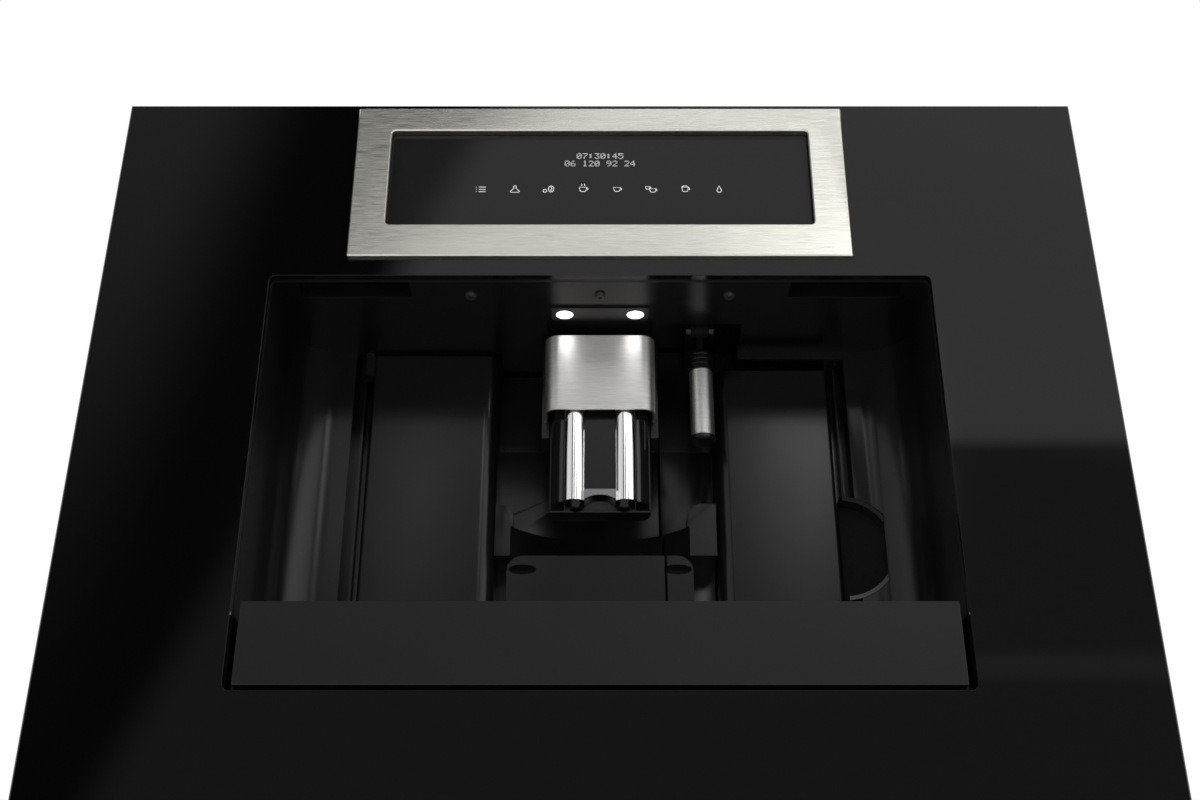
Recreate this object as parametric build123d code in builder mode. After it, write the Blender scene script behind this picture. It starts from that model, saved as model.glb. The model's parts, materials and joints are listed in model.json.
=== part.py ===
"""Built-in coffee machine: a glass-fronted case on pull-out runners, with its brewing gear."""

from build123d import *
from math import cos, radians, sin
import os

os.makedirs("parts", exist_ok=True)

# The front: a black glass pane on a carrier frame. Heights on the front are measured down
# from its top edge, depths back from the face of the glass.
front_width = 595.0
front_height = 455.0
front_clearance = 2.0
glass_thick = 5.0
glass_edge = 1.0
carrier_thick = 3.0
carrier_inset = 4.0
carrier_depth = glass_thick + carrier_thick

# The case behind the front.
front_overlap = 42.5
case_depth = 362.0
case_gap = 17.0
case_bottom = 10.0
sheet = 1.2
case_flange = 14.0
pan_wall = 24.0
pan_slot_length = 44.0
pan_slot_width = 5.0
pan_slot_pitch = 60.0
pan_slot_step = 16.0
louvre_length = 90.0
louvre_width = 4.0
louvre_pitch = 10.0
louvre_count = 9
louvre_back = 90.0
louvre_drop = 110.0
back_slot_length = 28.0
back_slot_width = 4.0
back_slot_pitch = 34.0
back_slot_step = 9.0
back_slot_drop = 150.0
top_slot_length = 60.0
top_slot_width = 4.0
top_slot_pitch = 9.0
top_slot_inset = 90.0
top_slot_back = 120.0
cover_screw_inset = 31.0
cover_screw_rows = 4
# How far a cutting tool runs past the face it opens.
overcut = 1.0

# Display trim, in brushed steel, proud of the glass.
trim_width = 303.5
trim_height = 110.0
trim_top = 4.8
trim_proud = 3.0
trim_wall = 1.5
trim_edge = 0.7
trim_corner = 1.0
window_width = 260.0
window_height = 70.0
window_top = 22.1
window_corner = 2.5
window_rest = 5.0
reveal_play = 0.5
display_thick = 3.0

# Cup niche.
niche_half = 197.0
niche_top = 127.0
niche_bottom = 380.0
niche_corner = 4.0
niche_depth = 95.0
niche_radius = 30.0
liner_wall = 2.5
liner_flange = 8.0
pocket_play = 2.0
service_half = 158.0
door_edge = 147.0
groove_depth = 17.0
rib_from = 9.0
rib_wall = 1.2
recess_depth = 126.0
panel_wall = 4.0
bay_gap = 0.3
side_gap = 1.5

# Service door, hinged at its left edge.
door_top = 129.5
door_bottom = 325.0
hinge_x = -150.0
hinge_back = 98.0
hinge_pin = 2.5
hinge_play = 0.1
knuckle_radius = 4.5
knuckle_height = 12.0
bulge_inner = 65.0
bulge_round = 10.0
bulge_corner = 2.5
shell_wall = 3.5
crease_at = 184.7
crease = 0.6
cover_thick = 3.0
cover_rib_pitch = 26.0
cover_rib_margin = 20.0
latch_drop = 225.0
latch_height = 24.0
latch_setback = 14.0
latch_width = 8.0
latch_depth = 12.0
bolt_thick = 3.0
bolt_reach = 4.0

# Forms of the wall behind the cup.
band_top = 247.0
band_bottom = 266.4
band_radius = 72.0
band_front = 100.0
ear_inner = 54.0
ear_top = 232.0
ear_round = 9.0
pod_half = 57.0
pod_round = 10.0
dimple_at = 47.5
dimple_width = 17.0
dimple_height = 6.5
dimple_drop = 9.0
dimple_depth = 10.0
strip_left = 41.0
strip_right = 72.0

# Coffee spout.
cap_half = 34.4
cap_top = 134.4
cap_bottom = 186.7
cap_front = 58.5
cap_back = 78.5
cap_wall = 1.5
cap_round = 9.0
guide_half = 36.5
guide_side = 5.2
guide_back = 98.0
guide_web = 4.0
guide_bottom = 197.0
guide_boss = 20.0
spout_half = 30.0
spout_front = 64.0
spout_back = 79.0
spout_top = 181.0
spout_bottom = 245.4
spout_round = 12.0
column_at = 15.5
column_radius = 8.0
column_sink = 5.0
spout_window_half = 9.5
spout_window_bottom = 239.0
spout_window_depth = 4.0
arch_radius = 18.0
arch_rise = 2.7
outlet_at = 14.6
outlet_radius = 4.0
outlet_bore = 2.2
outlet_drop = 3.0
outlet_socket = 8.0
outlet_edge = 0.8
body_top = 177.5
body_bottom = 247.0
body_round = 8.0
body_edge = 1.5
spout_play = 0.3

# Hot-water nozzle, hung on a pin above the ceiling.
nozzle_x = 64.5
nozzle_back = 85.0
nozzle_pivot = 116.0
nozzle_pin = 2.5
nozzle_pipe_radius = 2.0
pipe_wall = 0.6
sleeve_radius = 7.5
sleeve_wall = 0.9
sleeve_top = 147.5
sleeve_bottom = 193.6
tip_bottom = 197.0
tip_lip = 0.6
tip_taper = 1.2
collar_radius = 8.6
collar_height = 13.5
collar_ribs = 4
rib_cut = 0.8
barrel_radius = 5.0
barrel_half = 5.5
lug_wall = 3.0
lug_radius = 6.0
cutout_left = 36.6
cutout_right = 89.5
cutout_front = 58.0

# Ceiling details.
lamp_at = 22.0
lamp_back = 44.0
lamp_radius = 5.3
lamp_play = 0.1
lamp_edge = 0.8
lamp_rim = 1.5
holder_half = 30.0
holder_front = 36.0
holder_back = 56.0
holder_drop = 1.5
liner_screw_at = 78.7
liner_screw_back = 22.7
screw_head = 3.4
screw_head_height = 2.0
screw_shank = 1.5
screw_length = 9.0
screw_play = 0.2
screw_edge = 0.6
grip_inner = 115.0
grip_outer = 182.0
grip_back = 25.0
grip_height = 15.0
grip_wall = 2.0

# Water tank and its finger recess.
tank_left = 73.0
tank_top = 140.0
tank_lip = 131.7
tank_wall = 2.0
tub_step = 1.0
tank_room = 32.0
tank_height = 168.0
tank_lid_thick = 3.0
tank_corner = 8.0
tank_grip_half = 12.0
tank_grip_back = 30.0
tank_grip_width = 8.0
tank_grip_rise = 4.5
cup_centre = 148.0
cup_drop = 263.0
cup_radius = 34.0
cup_rim = 4.0
cup_depth = 9.0
cup_wall = 2.0
grip_slot = 22.0
grip_reach = 15.0
valve_radius = 7.0
valve_length = 10.0
valve_play = 0.2
valve_height = 16.0
valve_seat = 2.0
valve_bore = 3.0
valve_edge = 1.0
socket_wall = 5.0
socket_gap = 3.0
socket_floor = 4.0

# Drip tray.
tray_half = 192.5
tray_top = 330.8
tray_bottom = 377.0
tray_face = 1.0
tray_front_thick = 11.0
tray_edge = 0.5
tub_gap = 2.2
tub_wall = 2.0
tub_height = 45.0
tub_back = 92.5
tub_round = 27.0
grille_wall = 1.5
slot_width = 3.0
slot_length = 26.0
slot_pitch = 8.0
slot_gap = 6.0
slot_columns = 40
float_x = 62.0
float_back = 66.0
float_radius = 6.0
float_body = 11.0
float_body_height = 10.0
float_below = 1.0
float_play = 0.4
float_ring = 3.0
float_edge = 1.0
float_seat = 5.0
seat_radius = 9.0

# Pull-out runners: three nested members on each side.
cabinet_play = 27.5
base_sheet = 1.5
base_front = 14.0
base_gap = 10.0
base_corner = 20.0
base_wall_height = 48.0
base_rail = 60.0
base_screw_side = 50.0
base_screw_end = 39.0
base_screw_radius = 2.75
runner_bottom = 5.0
runner_height = 40.0
runner_setback = 4.0
runner_wall = 1.2
runner_flange = 7.0
runner_play = 0.3

# Brewing gear.
deck_back = case_depth - sheet
bulkhead_wall = 2.5
bulkhead_left = -100.0
bulkhead_right = 60.0
bulkhead_height = 250.0
brew_x = -23.0
brew_width = 72.0
brew_gap = 48.0
brew_bottom = 90.0
brew_height = 100.0
brew_corner = 10.0
brew_shoulder = 75.0
chamber_radius = 26.0
chamber_step = 5.0
chamber_wall = 6.0
chamber_mouth = 20.0
brew_spout_half = 16.0
brew_spout_depth = 12.0
brew_spout_height = 26.0
motor_radius = 24.0
motor_length = 46.0
motor_height = 130.0
gearbox_half = 32.0
gearbox_depth = 14.0
gearbox_low = 30.0
gearbox_high = 34.0
grinder_radius = 36.0
grinder_room = 74.0
grinder_throw = 48.0
grinder_height = 80.0
grinder_bottom = 175.0
grinder_collar = 8.0
grinder_foot = 6.0
grinder_arm = 24.0
grinder_arm_inset = 20.0
grinder_round = 3.0
hopper_width = 190.0
hopper_depth = 104.0
hopper_neck = 20.0
hopper_wall = 2.5
hopper_corner = 14.0
neck_flat = 1.0
chute_width = 56.0
chute_depth = 38.0
chute_neck = 12.0
chute_wall = 2.0
chute_corner = 6.0
chute_step = 55.0
container_width = 100.0
container_gap = 10.0
container_step = 4.0
container_height = 74.0
container_wall = 2.0
container_corner = 8.0
container_draft = -2.0
boiler_side = 55.0
boiler_room = 182.0
boiler_length = 130.0
boiler_radius = 32.0
boiler_foot = 10.0
strap_inset = 20.0
strap_half = 4.0
strap_thick = 3.0
boiler_foot_half = 20.0
boiler_pipe = 6.0
boiler_pipe_length = 14.0
pump_step = 10.0
pump_length = 130.0
pump_radius = 16.0
coil_size = 42.0
coil_setback = 40.0
pump_pipe = 5.0
pump_pipe_length = 16.0
mount_height = 12.0
mount_half = 15.0
mount_setback = 44.0
mount_length = 32.0
board_gap = 7.8
board_thick = 1.6
board_length = 170.0
board_height = 190.0
board_room = 212.0
board_rise = 40.0
board_corner = 10.0
board_part_depth = 0.7
# Its large components: place along and up the board as shares of it, and size.
board_parts = ((0.29, 0.26, 34.0), (0.65, 0.32, 26.0), (0.35, 0.68, 30.0), (0.7, 0.74, 22.0))
standoff_radius = 3.0
display_board_back = 14.0
display_board_half = 142.0
display_board_bottom = 104.0
display_board_corner = 6.0
module_width = 110.0
module_height = 26.0
module_rise = 12.0
module_gap = 1.0
inlet_side = 105.0
inlet_drop = 57.2
inlet_width = 28.0
inlet_depth = 22.0
inlet_frame = 64.0
socket_half = 12.0
socket_rise = 8.0
socket_depth = 17.0
contact_depth = 4.0
contact_width = 2.0
contact_height = 4.0
contact_pitch = 7.0
contact_rise = 2.0
rocker_width = 12.0
rocker_height = 20.0
rocker_play = 0.5
rocker_well = 12.0
rocker_pin_depth = 6.0
rocker_pin = 1.5
rocker_tip = 7.0
rocker_root = 2.0
rocker_foot = 4.0
rocker_edge = 1.0
rocker_rise = 4.0
rocker_face = 3.0
lid_thick = 3.0
lid_overlap = 6.0
flap_overlap = 4.0
lid_knuckle = 2.5
lid_pin = 1.2
lid_lug = 3.0
lid_grip_rise = 2.0
bean_grip_length = 40.0
bean_grip_width = 6.0
flap_grip_length = 24.0
flap_grip_width = 5.0
knob_x = 150.0
knob_step = 12.0
knob_radius = 14.0
knob_height = 8.0
knob_shaft = 3.0
knob_shaft_length = 20.0
knob_edge = 0.6
knob_flutes = 18
knob_flute_radius = 1.2

# Places worked out from the sizes above.
total_depth = trim_proud + case_depth
face_y = trim_proud - total_depth / 2
front_top = front_clearance + front_height
case_half = front_width / 2 - front_overlap
case_top = front_top - case_gap
screw_hole = screw_shank + screw_play
sill_top = front_top - door_bottom - bay_gap
wall_back = recess_depth + panel_wall
door_reach = strip_left - hinge_x - side_gap
display_board_high = case_top - sheet - 2
base_half = front_width / 2 - cabinet_play
base_back = case_depth - base_gap
tank_back = case_depth - tank_room
grinder_back = case_depth - grinder_room
bulkhead_at = grinder_back - grinder_throw
chute_back = bulkhead_at - chute_step
container_front = wall_back + container_gap
brew_front = wall_back + brew_gap
container_back = bulkhead_at - container_step
boiler_front = case_depth - boiler_room
pump_front = boiler_front - pump_step
board_front = case_depth - board_room
knob_back = grinder_back + knob_step
lid_low = case_top + bay_gap
lid_axis = lid_low + lid_knuckle
bean_front = grinder_back - hopper_depth / 2
bean_back = grinder_back + hopper_depth / 2
bean_lid_half = hopper_width / 2 + lid_overlap
bean_axis = bean_back + lid_overlap + lid_knuckle
chute_front = chute_back - chute_depth / 2
flap_half = chute_width / 2 + flap_overlap
flap_axis = chute_back + chute_depth / 2 + flap_overlap + lid_knuckle


def behind(depth):
    """The Y of a depth behind the face of the glass."""
    return face_y + depth


def below(drop):
    """The Z of a distance below the top edge of the front."""
    return front_top - drop


def patch(left, right, low, high, mode=Mode.ADD):
    """A rectangle in the open sketch, by its sides."""
    with Locations(((left + right) / 2, (low + high) / 2)):
        Rectangle(abs(right - left), abs(high - low), mode=mode)


def plan(left, right, front, back, mode=Mode.ADD):
    """A rectangle in an open plan sketch, by its sides and its depths behind the glass."""
    patch(left, right, behind(front), behind(back), mode)


def slab(across, depths, heights, mode=Mode.ADD):
    """A block in the open part, by its X, depth and Z spans."""
    middle = (sum(across) / 2, behind(sum(depths) / 2), sum(heights) / 2)
    with Locations(middle):
        Box(abs(across[1] - across[0]), depths[1] - depths[0], heights[1] - heights[0], mode=mode)


def post(x, depth, radius, low, high, mode=Mode.ADD):
    """An upright cylinder in the open part."""
    with Locations((x, behind(depth), (low + high) / 2)):
        Cylinder(radius, high - low, mode=mode)


def barrel(x, z, radius, front, back, mode=Mode.ADD):
    """A cylinder that lies front to back in the open part."""
    with Locations(Location((x, behind((front + back) / 2), z), (90, 0, 0))):
        Cylinder(radius, back - front, mode=mode)


def axle(left, right, depth, z, radius, mode=Mode.ADD):
    """A cylinder that lies from left to right in the open part."""
    with Locations(Location(((left + right) / 2, behind(depth), z), (0, 90, 0))):
        Cylinder(radius, abs(right - left), mode=mode)


def upright(depth):
    """A plane that faces the front, at a depth: its sketches are in X and Z."""
    return Plane.XZ.offset(-behind(depth))


def lid_barrel(middle, half, depth):
    """A lid's hinge barrel with its pins, in the open part."""
    axle(middle - half, middle + half, depth, lid_axis, lid_knuckle)
    axle(middle - half - lid_lug, middle + half + lid_lug, depth, lid_axis, lid_pin)
    slab((middle - half, middle + half), (depth - 2 * lid_knuckle, depth), (lid_low, lid_low + lid_thick))


def lid_lugs(middle, half, depth):
    """The two lugs that hold a lid's pins, on the case cover."""
    for hand in (-1, 1):
        inner = middle + hand * (half + bay_gap)
        outer = middle + hand * (half + bay_gap + lid_lug)
        slab((inner, outer), (depth - lid_knuckle, depth + lid_knuckle), (case_top - sheet, lid_axis))
        axle(inner, outer, depth, lid_axis, lid_knuckle)
        axle(inner, outer, depth, lid_axis, lid_pin + hinge_play, Mode.SUBTRACT)


def save(name, piece):
    piece.label = name
    export_step(piece, f"parts/{name}.step")


# Cabinet frame: a sheet floor frame that screws to the cabinet shelf, with side walls.
with BuildPart() as base_frame:
    with BuildSketch(upright(base_back)):
        patch(-base_half, base_half, 0, base_wall_height)
        patch(base_sheet - base_half, base_half - base_sheet, base_sheet, base_wall_height, Mode.SUBTRACT)
    extrude(amount=base_back - base_front)
    base_middle = (base_front + base_back) / 2
    base_screw_x = 2 * (base_half - base_screw_side)
    base_screw_y = base_back - base_front - 2 * base_screw_end
    with BuildSketch(Plane.XY):
        with Locations((0, behind(base_middle))):
            RectangleRounded(
                2 * base_half - 2 * base_rail, base_back - base_front - 2 * base_rail, base_corner
            )
    extrude(amount=base_sheet, mode=Mode.SUBTRACT)
    with Locations((0, behind(base_middle), base_sheet)):
        with GridLocations(base_screw_x, base_screw_y, 2, 2):
            Hole(base_screw_radius)
save("base_frame", base_frame.part)

# Runners: outer channel on the frame, middle member between, inner channel on the case.
runner_web = base_half - base_sheet
runner_length = base_back - base_front - 2 * runner_setback
runner_top = runner_bottom + runner_height
runner_start = base_front + runner_setback
nest = runner_wall + runner_play
for side, hand in (("left", -1), ("right", 1)):
    with BuildPart() as outer_runner:
        with BuildSketch(upright(runner_start + runner_length)):
            patch(hand * (runner_web - runner_flange), hand * runner_web, runner_bottom, runner_top)
            patch(
                hand * (runner_web - runner_flange),
                hand * (runner_web - runner_wall),
                runner_bottom + runner_wall,
                runner_top - runner_wall,
                Mode.SUBTRACT,
            )
        extrude(amount=runner_length)
    save(f"outer_runner_{side}", outer_runner.part)

    middle_outer = runner_web - runner_wall - runner_play
    middle_inner = case_half + runner_wall + runner_play
    with BuildPart() as middle_runner:
        with BuildSketch(upright(runner_start + runner_length)):
            patch(hand * middle_inner, hand * middle_outer, runner_bottom + nest, runner_top - nest)
            patch(
                hand * middle_inner,
                hand * (middle_outer - runner_flange + runner_wall),
                runner_bottom + nest + runner_wall,
                runner_top - nest - runner_wall,
                Mode.SUBTRACT,
            )
            patch(
                hand * (middle_outer - runner_flange + 2 * runner_wall),
                hand * middle_outer,
                runner_bottom + nest + runner_wall,
                runner_top - nest - runner_wall,
                Mode.SUBTRACT,
            )
        extrude(amount=runner_length)
    save(f"middle_runner_{side}", middle_runner.part)

    inner_reach = middle_outer - runner_flange + runner_wall - runner_play
    with BuildPart() as inner_runner:
        with BuildSketch(upright(runner_start + runner_length)):
            patch(hand * case_half, hand * inner_reach, runner_bottom + 2 * nest, runner_top - 2 * nest)
            patch(
                hand * (case_half + runner_wall),
                hand * inner_reach,
                runner_bottom + 2 * nest + runner_wall,
                runner_top - 2 * nest - runner_wall,
                Mode.SUBTRACT,
            )
        extrude(amount=runner_length)
    save(f"inner_runner_{side}", inner_runner.part)

# Case: base pan, sides with louvres, back, top cover.
inner_half = case_half - sheet
with BuildPart() as base_pan:
    with BuildSketch(upright(case_depth - sheet)):
        patch(-inner_half, inner_half, case_bottom, case_bottom + pan_wall)
        lip_half = inner_half - sheet
        patch(-lip_half, lip_half, case_bottom + sheet, case_bottom + pan_wall, Mode.SUBTRACT)
    extrude(amount=case_depth - sheet - carrier_depth)
    with BuildSketch(Plane.XY.offset(case_bottom)):
        with Locations((0, behind(case_depth / 2))):
            with GridLocations(pan_slot_pitch, pan_slot_step, 3, 6):
                SlotOverall(pan_slot_length, pan_slot_width)
    extrude(amount=sheet, mode=Mode.SUBTRACT)
save("base_pan", base_pan.part)

cover_screw_step = (case_depth - 2 * cover_screw_inset) / (cover_screw_rows - 1)
cover_screw_backs = [cover_screw_inset + cover_screw_step * row for row in range(cover_screw_rows)]
cover_screw_x = inner_half - case_flange / 2
for side, hand in (("left", -1), ("right", 1)):
    with BuildPart() as side_panel:
        slab(
            (hand * inner_half, hand * case_half),
            (carrier_depth, case_depth),
            (case_bottom, case_top - sheet),
        )
        slab(
            (hand * (inner_half - case_flange), hand * inner_half),
            (carrier_depth, case_depth - sheet),
            (case_top - 2 * sheet, case_top - sheet),
        )
        with BuildSketch(Plane.YZ.offset(hand * case_half)) as louvres:
            with Locations((behind(case_depth - louvre_back), case_top - louvre_drop)):
                with GridLocations(louvre_length, louvre_pitch, 1, louvre_count):
                    SlotOverall(louvre_length, louvre_width)
        extrude(amount=-hand * 2 * sheet, mode=Mode.SUBTRACT)
        for depth in cover_screw_backs:
            post(hand * cover_screw_x, depth, screw_hole, case_top - 3 * sheet, case_top, Mode.SUBTRACT)
    save(f"side_panel_{side}", side_panel.part)

inlet_x = inlet_side - case_half
inlet_top = sill_top - liner_wall - inlet_drop
with BuildPart() as back_panel:
    slab((-inner_half, inner_half), (case_depth - sheet, case_depth), (case_bottom, case_top - sheet))
    with BuildSketch(upright(case_depth)):
        with Locations((-inner_half / 2, case_top - back_slot_drop)):
            with GridLocations(back_slot_pitch, back_slot_step, 4, 9):
                SlotOverall(back_slot_length, back_slot_width)
        with Locations((inlet_x, inlet_top)):
            Rectangle(inlet_frame, inlet_width)
    extrude(amount=2 * sheet, mode=Mode.SUBTRACT)
save("back_panel", back_panel.part)

with BuildPart() as top_cover:
    slab((-case_half, case_half), (carrier_depth, case_depth), (case_top - sheet, case_top))
    with BuildSketch(Plane.XY.offset(case_top)):
        with Locations((brew_x, behind(grinder_back))):
            Rectangle(hopper_width, hopper_depth)
        with Locations((brew_x, behind(chute_back))):
            Rectangle(chute_width, chute_depth)
        with Locations(
            (top_slot_inset - inner_half, behind(top_slot_back)),
            (inner_half - top_slot_inset, behind(top_slot_back)),
        ):
            with GridLocations(top_slot_pitch, top_slot_length, 8, 1):
                SlotOverall(top_slot_length, top_slot_width, rotation=90)
        with Locations((knob_x, behind(knob_back))):
            Circle(knob_shaft + 2 * hinge_play)
    extrude(amount=-sheet, mode=Mode.SUBTRACT)
    for x in (-cover_screw_x, cover_screw_x):
        for depth in cover_screw_backs:
            post(x, depth, screw_hole, case_top - 2 * sheet, case_top + overcut, Mode.SUBTRACT)
    lid_lugs(brew_x, bean_lid_half, bean_axis)
    lid_lugs(brew_x, flap_half, flap_axis)
save("top_cover", top_cover.part)

with BuildPart() as cover_screws:
    for x in (-cover_screw_x, cover_screw_x):
        for depth in cover_screw_backs:
            post(x, depth, screw_shank, case_top - screw_length, case_top)
            post(x, depth, screw_head, case_top, case_top + screw_head_height)
    chamfer(cover_screws.faces().group_by(Axis.Z)[-1].edges(), screw_edge)
save("cover_screws", cover_screws.part)

# Front: carrier frame, glass, display trim and glass.
carrier_half = front_width / 2 - carrier_inset
window_middle = below(window_top + window_height / 2)
reveal_half = window_width / 2 + trim_wall
reveal_high = window_height / 2 + trim_wall
with BuildPart() as front_frame:
    with BuildSketch(upright(carrier_depth)):
        patch(-carrier_half, carrier_half, front_clearance + carrier_inset, front_top - carrier_inset)
        with Locations((0, (below(niche_top) + below(niche_bottom)) / 2)):
            RectangleRounded(2 * niche_half, niche_bottom - niche_top, niche_corner, mode=Mode.SUBTRACT)
        with Locations((0, window_middle)):
            Rectangle(window_width - 2 * window_rest, window_height - 2 * window_rest, mode=Mode.SUBTRACT)
    extrude(amount=carrier_thick)
save("front_frame", front_frame.part)

with BuildPart() as front_glass:
    with BuildSketch(upright(glass_thick)):
        patch(-front_width / 2, front_width / 2, front_clearance, front_top)
        with Locations((0, (below(niche_top) + below(niche_bottom)) / 2)):
            RectangleRounded(2 * niche_half, niche_bottom - niche_top, niche_corner, mode=Mode.SUBTRACT)
        with Locations((0, window_middle)):
            Rectangle(2 * (reveal_half + reveal_play), 2 * (reveal_high + reveal_play), mode=Mode.SUBTRACT)
    extrude(amount=glass_thick)
    front_edges = front_glass.faces().sort_by(Axis.Y)[0].outer_wire().edges()
    chamfer(front_edges, glass_edge)
save("front_glass", front_glass.part)

with BuildPart() as display_trim:
    with BuildSketch(upright(0)):
        with Locations((0, below(trim_top + trim_height / 2))):
            RectangleRounded(trim_width, trim_height, trim_corner)
        with Locations((0, window_middle)):
            RectangleRounded(window_width, window_height, window_corner, mode=Mode.SUBTRACT)
    extrude(amount=trim_proud)
    chamfer(display_trim.faces().sort_by(Axis.Y)[0].edges(), trim_edge)
    with BuildSketch(upright(glass_thick)):
        with Locations((0, window_middle)):
            Rectangle(2 * reveal_half, 2 * reveal_high)
            RectangleRounded(window_width, window_height, window_corner, mode=Mode.SUBTRACT)
    extrude(amount=glass_thick)
save("display_trim", display_trim.part)

with BuildPart() as display_glass:
    with BuildSketch(upright(glass_thick)):
        with Locations((0, window_middle)):
            RectangleRounded(window_width - bay_gap, window_height - bay_gap, window_corner)
    extrude(amount=display_thick)
save("display_glass", display_glass.part)

with BuildPart() as display_board:
    with BuildSketch(upright(display_board_back + board_thick)):
        patch(-display_board_half, display_board_half, below(display_board_bottom), display_board_high)
    extrude(amount=board_thick)
    with BuildSketch(upright(display_board_back)):
        with Locations((0, window_middle + module_rise)):
            Rectangle(module_width, module_height)
    extrude(amount=display_board_back - carrier_depth - module_gap)
    with BuildSketch(upright(display_board_back)):
        low_row = below(display_board_bottom) + display_board_corner
        for z in (low_row, display_board_high - display_board_corner):
            for x in (display_board_corner - display_board_half, display_board_half - display_board_corner):
                with Locations((x, z)):
                    Circle(standoff_radius)
    extrude(amount=display_board_back - carrier_depth)
save("display_board", display_board.part)

# Niche liner: one moulding with ceiling, side walls, tray bay and the frame of the service opening.
ceiling = below(niche_top)
bay_floor = below(niche_bottom)
liner_top = ceiling + 2 * liner_wall
liner_back = niche_depth + liner_wall
liner_half = niche_half + liner_wall
# A pocket over the nozzle's cut-out holds its pivot and closes the case above it.
pocket_top = below(nozzle_pivot) + lug_radius + pocket_play
with BuildPart() as niche_liner:
    with BuildSketch(Plane.XY.offset(bay_floor - liner_wall)) as liner_outer:
        plan(-liner_half, liner_half, carrier_depth, liner_back)
        fillet(liner_outer.vertices().group_by(Axis.Y)[-1], niche_radius + liner_wall)
    extrude(amount=ceiling - bay_floor + 2 * liner_wall)
    with BuildSketch(Plane.XY.offset(bay_floor)) as liner_inner:
        plan(-niche_half, niche_half, carrier_depth, niche_depth)
        fillet(liner_inner.vertices().group_by(Axis.Y)[-1], niche_radius)
    extrude(amount=ceiling - bay_floor, mode=Mode.SUBTRACT)
    # The front flange seats on the back of the carrier.
    with BuildSketch(upright(carrier_depth + liner_wall)) as flange_ring:
        with Locations((0, (ceiling + bay_floor) / 2)):
            flange_height = liner_top - bay_floor + 2 * liner_flange
            Rectangle(2 * (liner_half + liner_flange), flange_height)
            Rectangle(2 * niche_half, ceiling - bay_floor, mode=Mode.SUBTRACT)
    extrude(amount=liner_wall)
    # Service opening, with a lip above the tank and a sill and ceiling that run back.
    liner_cut = (niche_depth - overcut, liner_back + overcut)
    slab((-service_half, service_half), liner_cut, (sill_top, below(tank_lip)), Mode.SUBTRACT)
    slab((-service_half, cutout_right), liner_cut, (sill_top, ceiling), Mode.SUBTRACT)
    service_outer = service_half + liner_wall
    slab((-service_outer, service_outer), (niche_depth, wall_back), (sill_top - liner_wall, sill_top))
    slab((-service_outer, service_outer), (niche_depth, wall_back), (ceiling, ceiling + liner_wall))
    # Grooves on both sides of the door and tank, each with a rib on its floor.
    groove_floor = niche_depth + groove_depth
    for hand in (-1, 1):
        slab((hand * service_half, hand * service_outer), (liner_back, wall_back), (sill_top, ceiling))
        slab(
            (hand * (door_edge + side_gap), hand * service_half),
            (groove_floor, groove_floor + liner_wall),
            (sill_top, ceiling),
        )
        rib_x = (door_edge + service_half) / 2
        slab(
            (hand * (rib_x - rib_wall / 2), hand * (rib_x + rib_wall / 2)),
            (niche_depth + rib_from, groove_floor),
            (sill_top, ceiling),
        )
    # Grip pockets behind the front, above the ceiling.
    for hand in (-1, 1):
        slab(
            (hand * (grip_inner - grip_wall), hand * (grip_outer + grip_wall)),
            (carrier_depth, grip_back + grip_wall),
            (ceiling, ceiling + grip_height + grip_wall),
        )
        slab(
            (hand * grip_inner, hand * grip_outer),
            (carrier_depth, grip_back),
            (ceiling - overcut, ceiling + grip_height),
            Mode.SUBTRACT,
        )
    # Lamp holder, screw holes, nozzle cut-out, hinge holes, finger recess.
    slab((-holder_half, holder_half), (holder_front, holder_back), (ceiling - holder_drop, ceiling))
    for x in (-lamp_at, lamp_at):
        post(x, lamp_back, lamp_radius + lamp_play, ceiling - 2 * holder_drop, liner_top, Mode.SUBTRACT)
    for x in (-liner_screw_at, 0, liner_screw_at):
        post(x, liner_screw_back, screw_hole, ceiling - overcut, liner_top, Mode.SUBTRACT)
    slab(
        (cutout_left - liner_wall, cutout_right + liner_wall),
        (cutout_front - liner_wall, wall_back),
        (ceiling + liner_wall, pocket_top + liner_wall),
    )
    slab(
        (cutout_left, cutout_right),
        (cutout_front, wall_back + overcut),
        (ceiling - overcut, pocket_top),
        Mode.SUBTRACT,
    )
    hinge_bore = hinge_pin + hinge_play
    post(hinge_x, hinge_back, hinge_bore, sill_top - 2 * liner_wall, liner_top, Mode.SUBTRACT)
    cup_hole = cup_radius + bay_gap
    barrel(cup_centre, below(cup_drop), cup_hole, niche_depth - overcut, groove_floor, Mode.SUBTRACT)
save("niche_liner", niche_liner.part)

with BuildPart() as finger_cup:
    with BuildSketch(Plane.XY.offset(below(cup_drop))) as cup_profile:
        with BuildLine():
            Polyline(
                (cup_centre, behind(niche_depth + cup_depth)),
                (cup_centre + cup_radius - cup_rim, behind(niche_depth + cup_depth)),
                (cup_centre + cup_radius, behind(niche_depth)),
                (cup_centre + cup_radius, behind(niche_depth + cup_depth + cup_wall)),
                (cup_centre, behind(niche_depth + cup_depth + cup_wall)),
                close=True,
            )
        make_face()
    revolve(axis=Axis((cup_centre, 0, below(cup_drop)), (0, 1, 0)), revolution_arc=360)
    slab(
        (cup_centre - 2 * cup_radius, door_edge + side_gap),
        (niche_depth - overcut, niche_depth + 2 * cup_depth),
        (below(cup_drop) - 2 * cup_radius, below(cup_drop) + 2 * cup_radius),
        Mode.SUBTRACT,
    )
save("finger_cup", finger_cup.part)

with BuildPart() as liner_screws:
    for x in (-liner_screw_at, 0, liner_screw_at):
        post(x, liner_screw_back, screw_shank, ceiling, ceiling + screw_length)
        post(x, liner_screw_back, screw_head, ceiling - screw_head_height, ceiling)
    chamfer(liner_screws.faces().group_by(Axis.Z)[0].edges(), screw_edge)
save("liner_screws", liner_screws.part)

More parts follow.
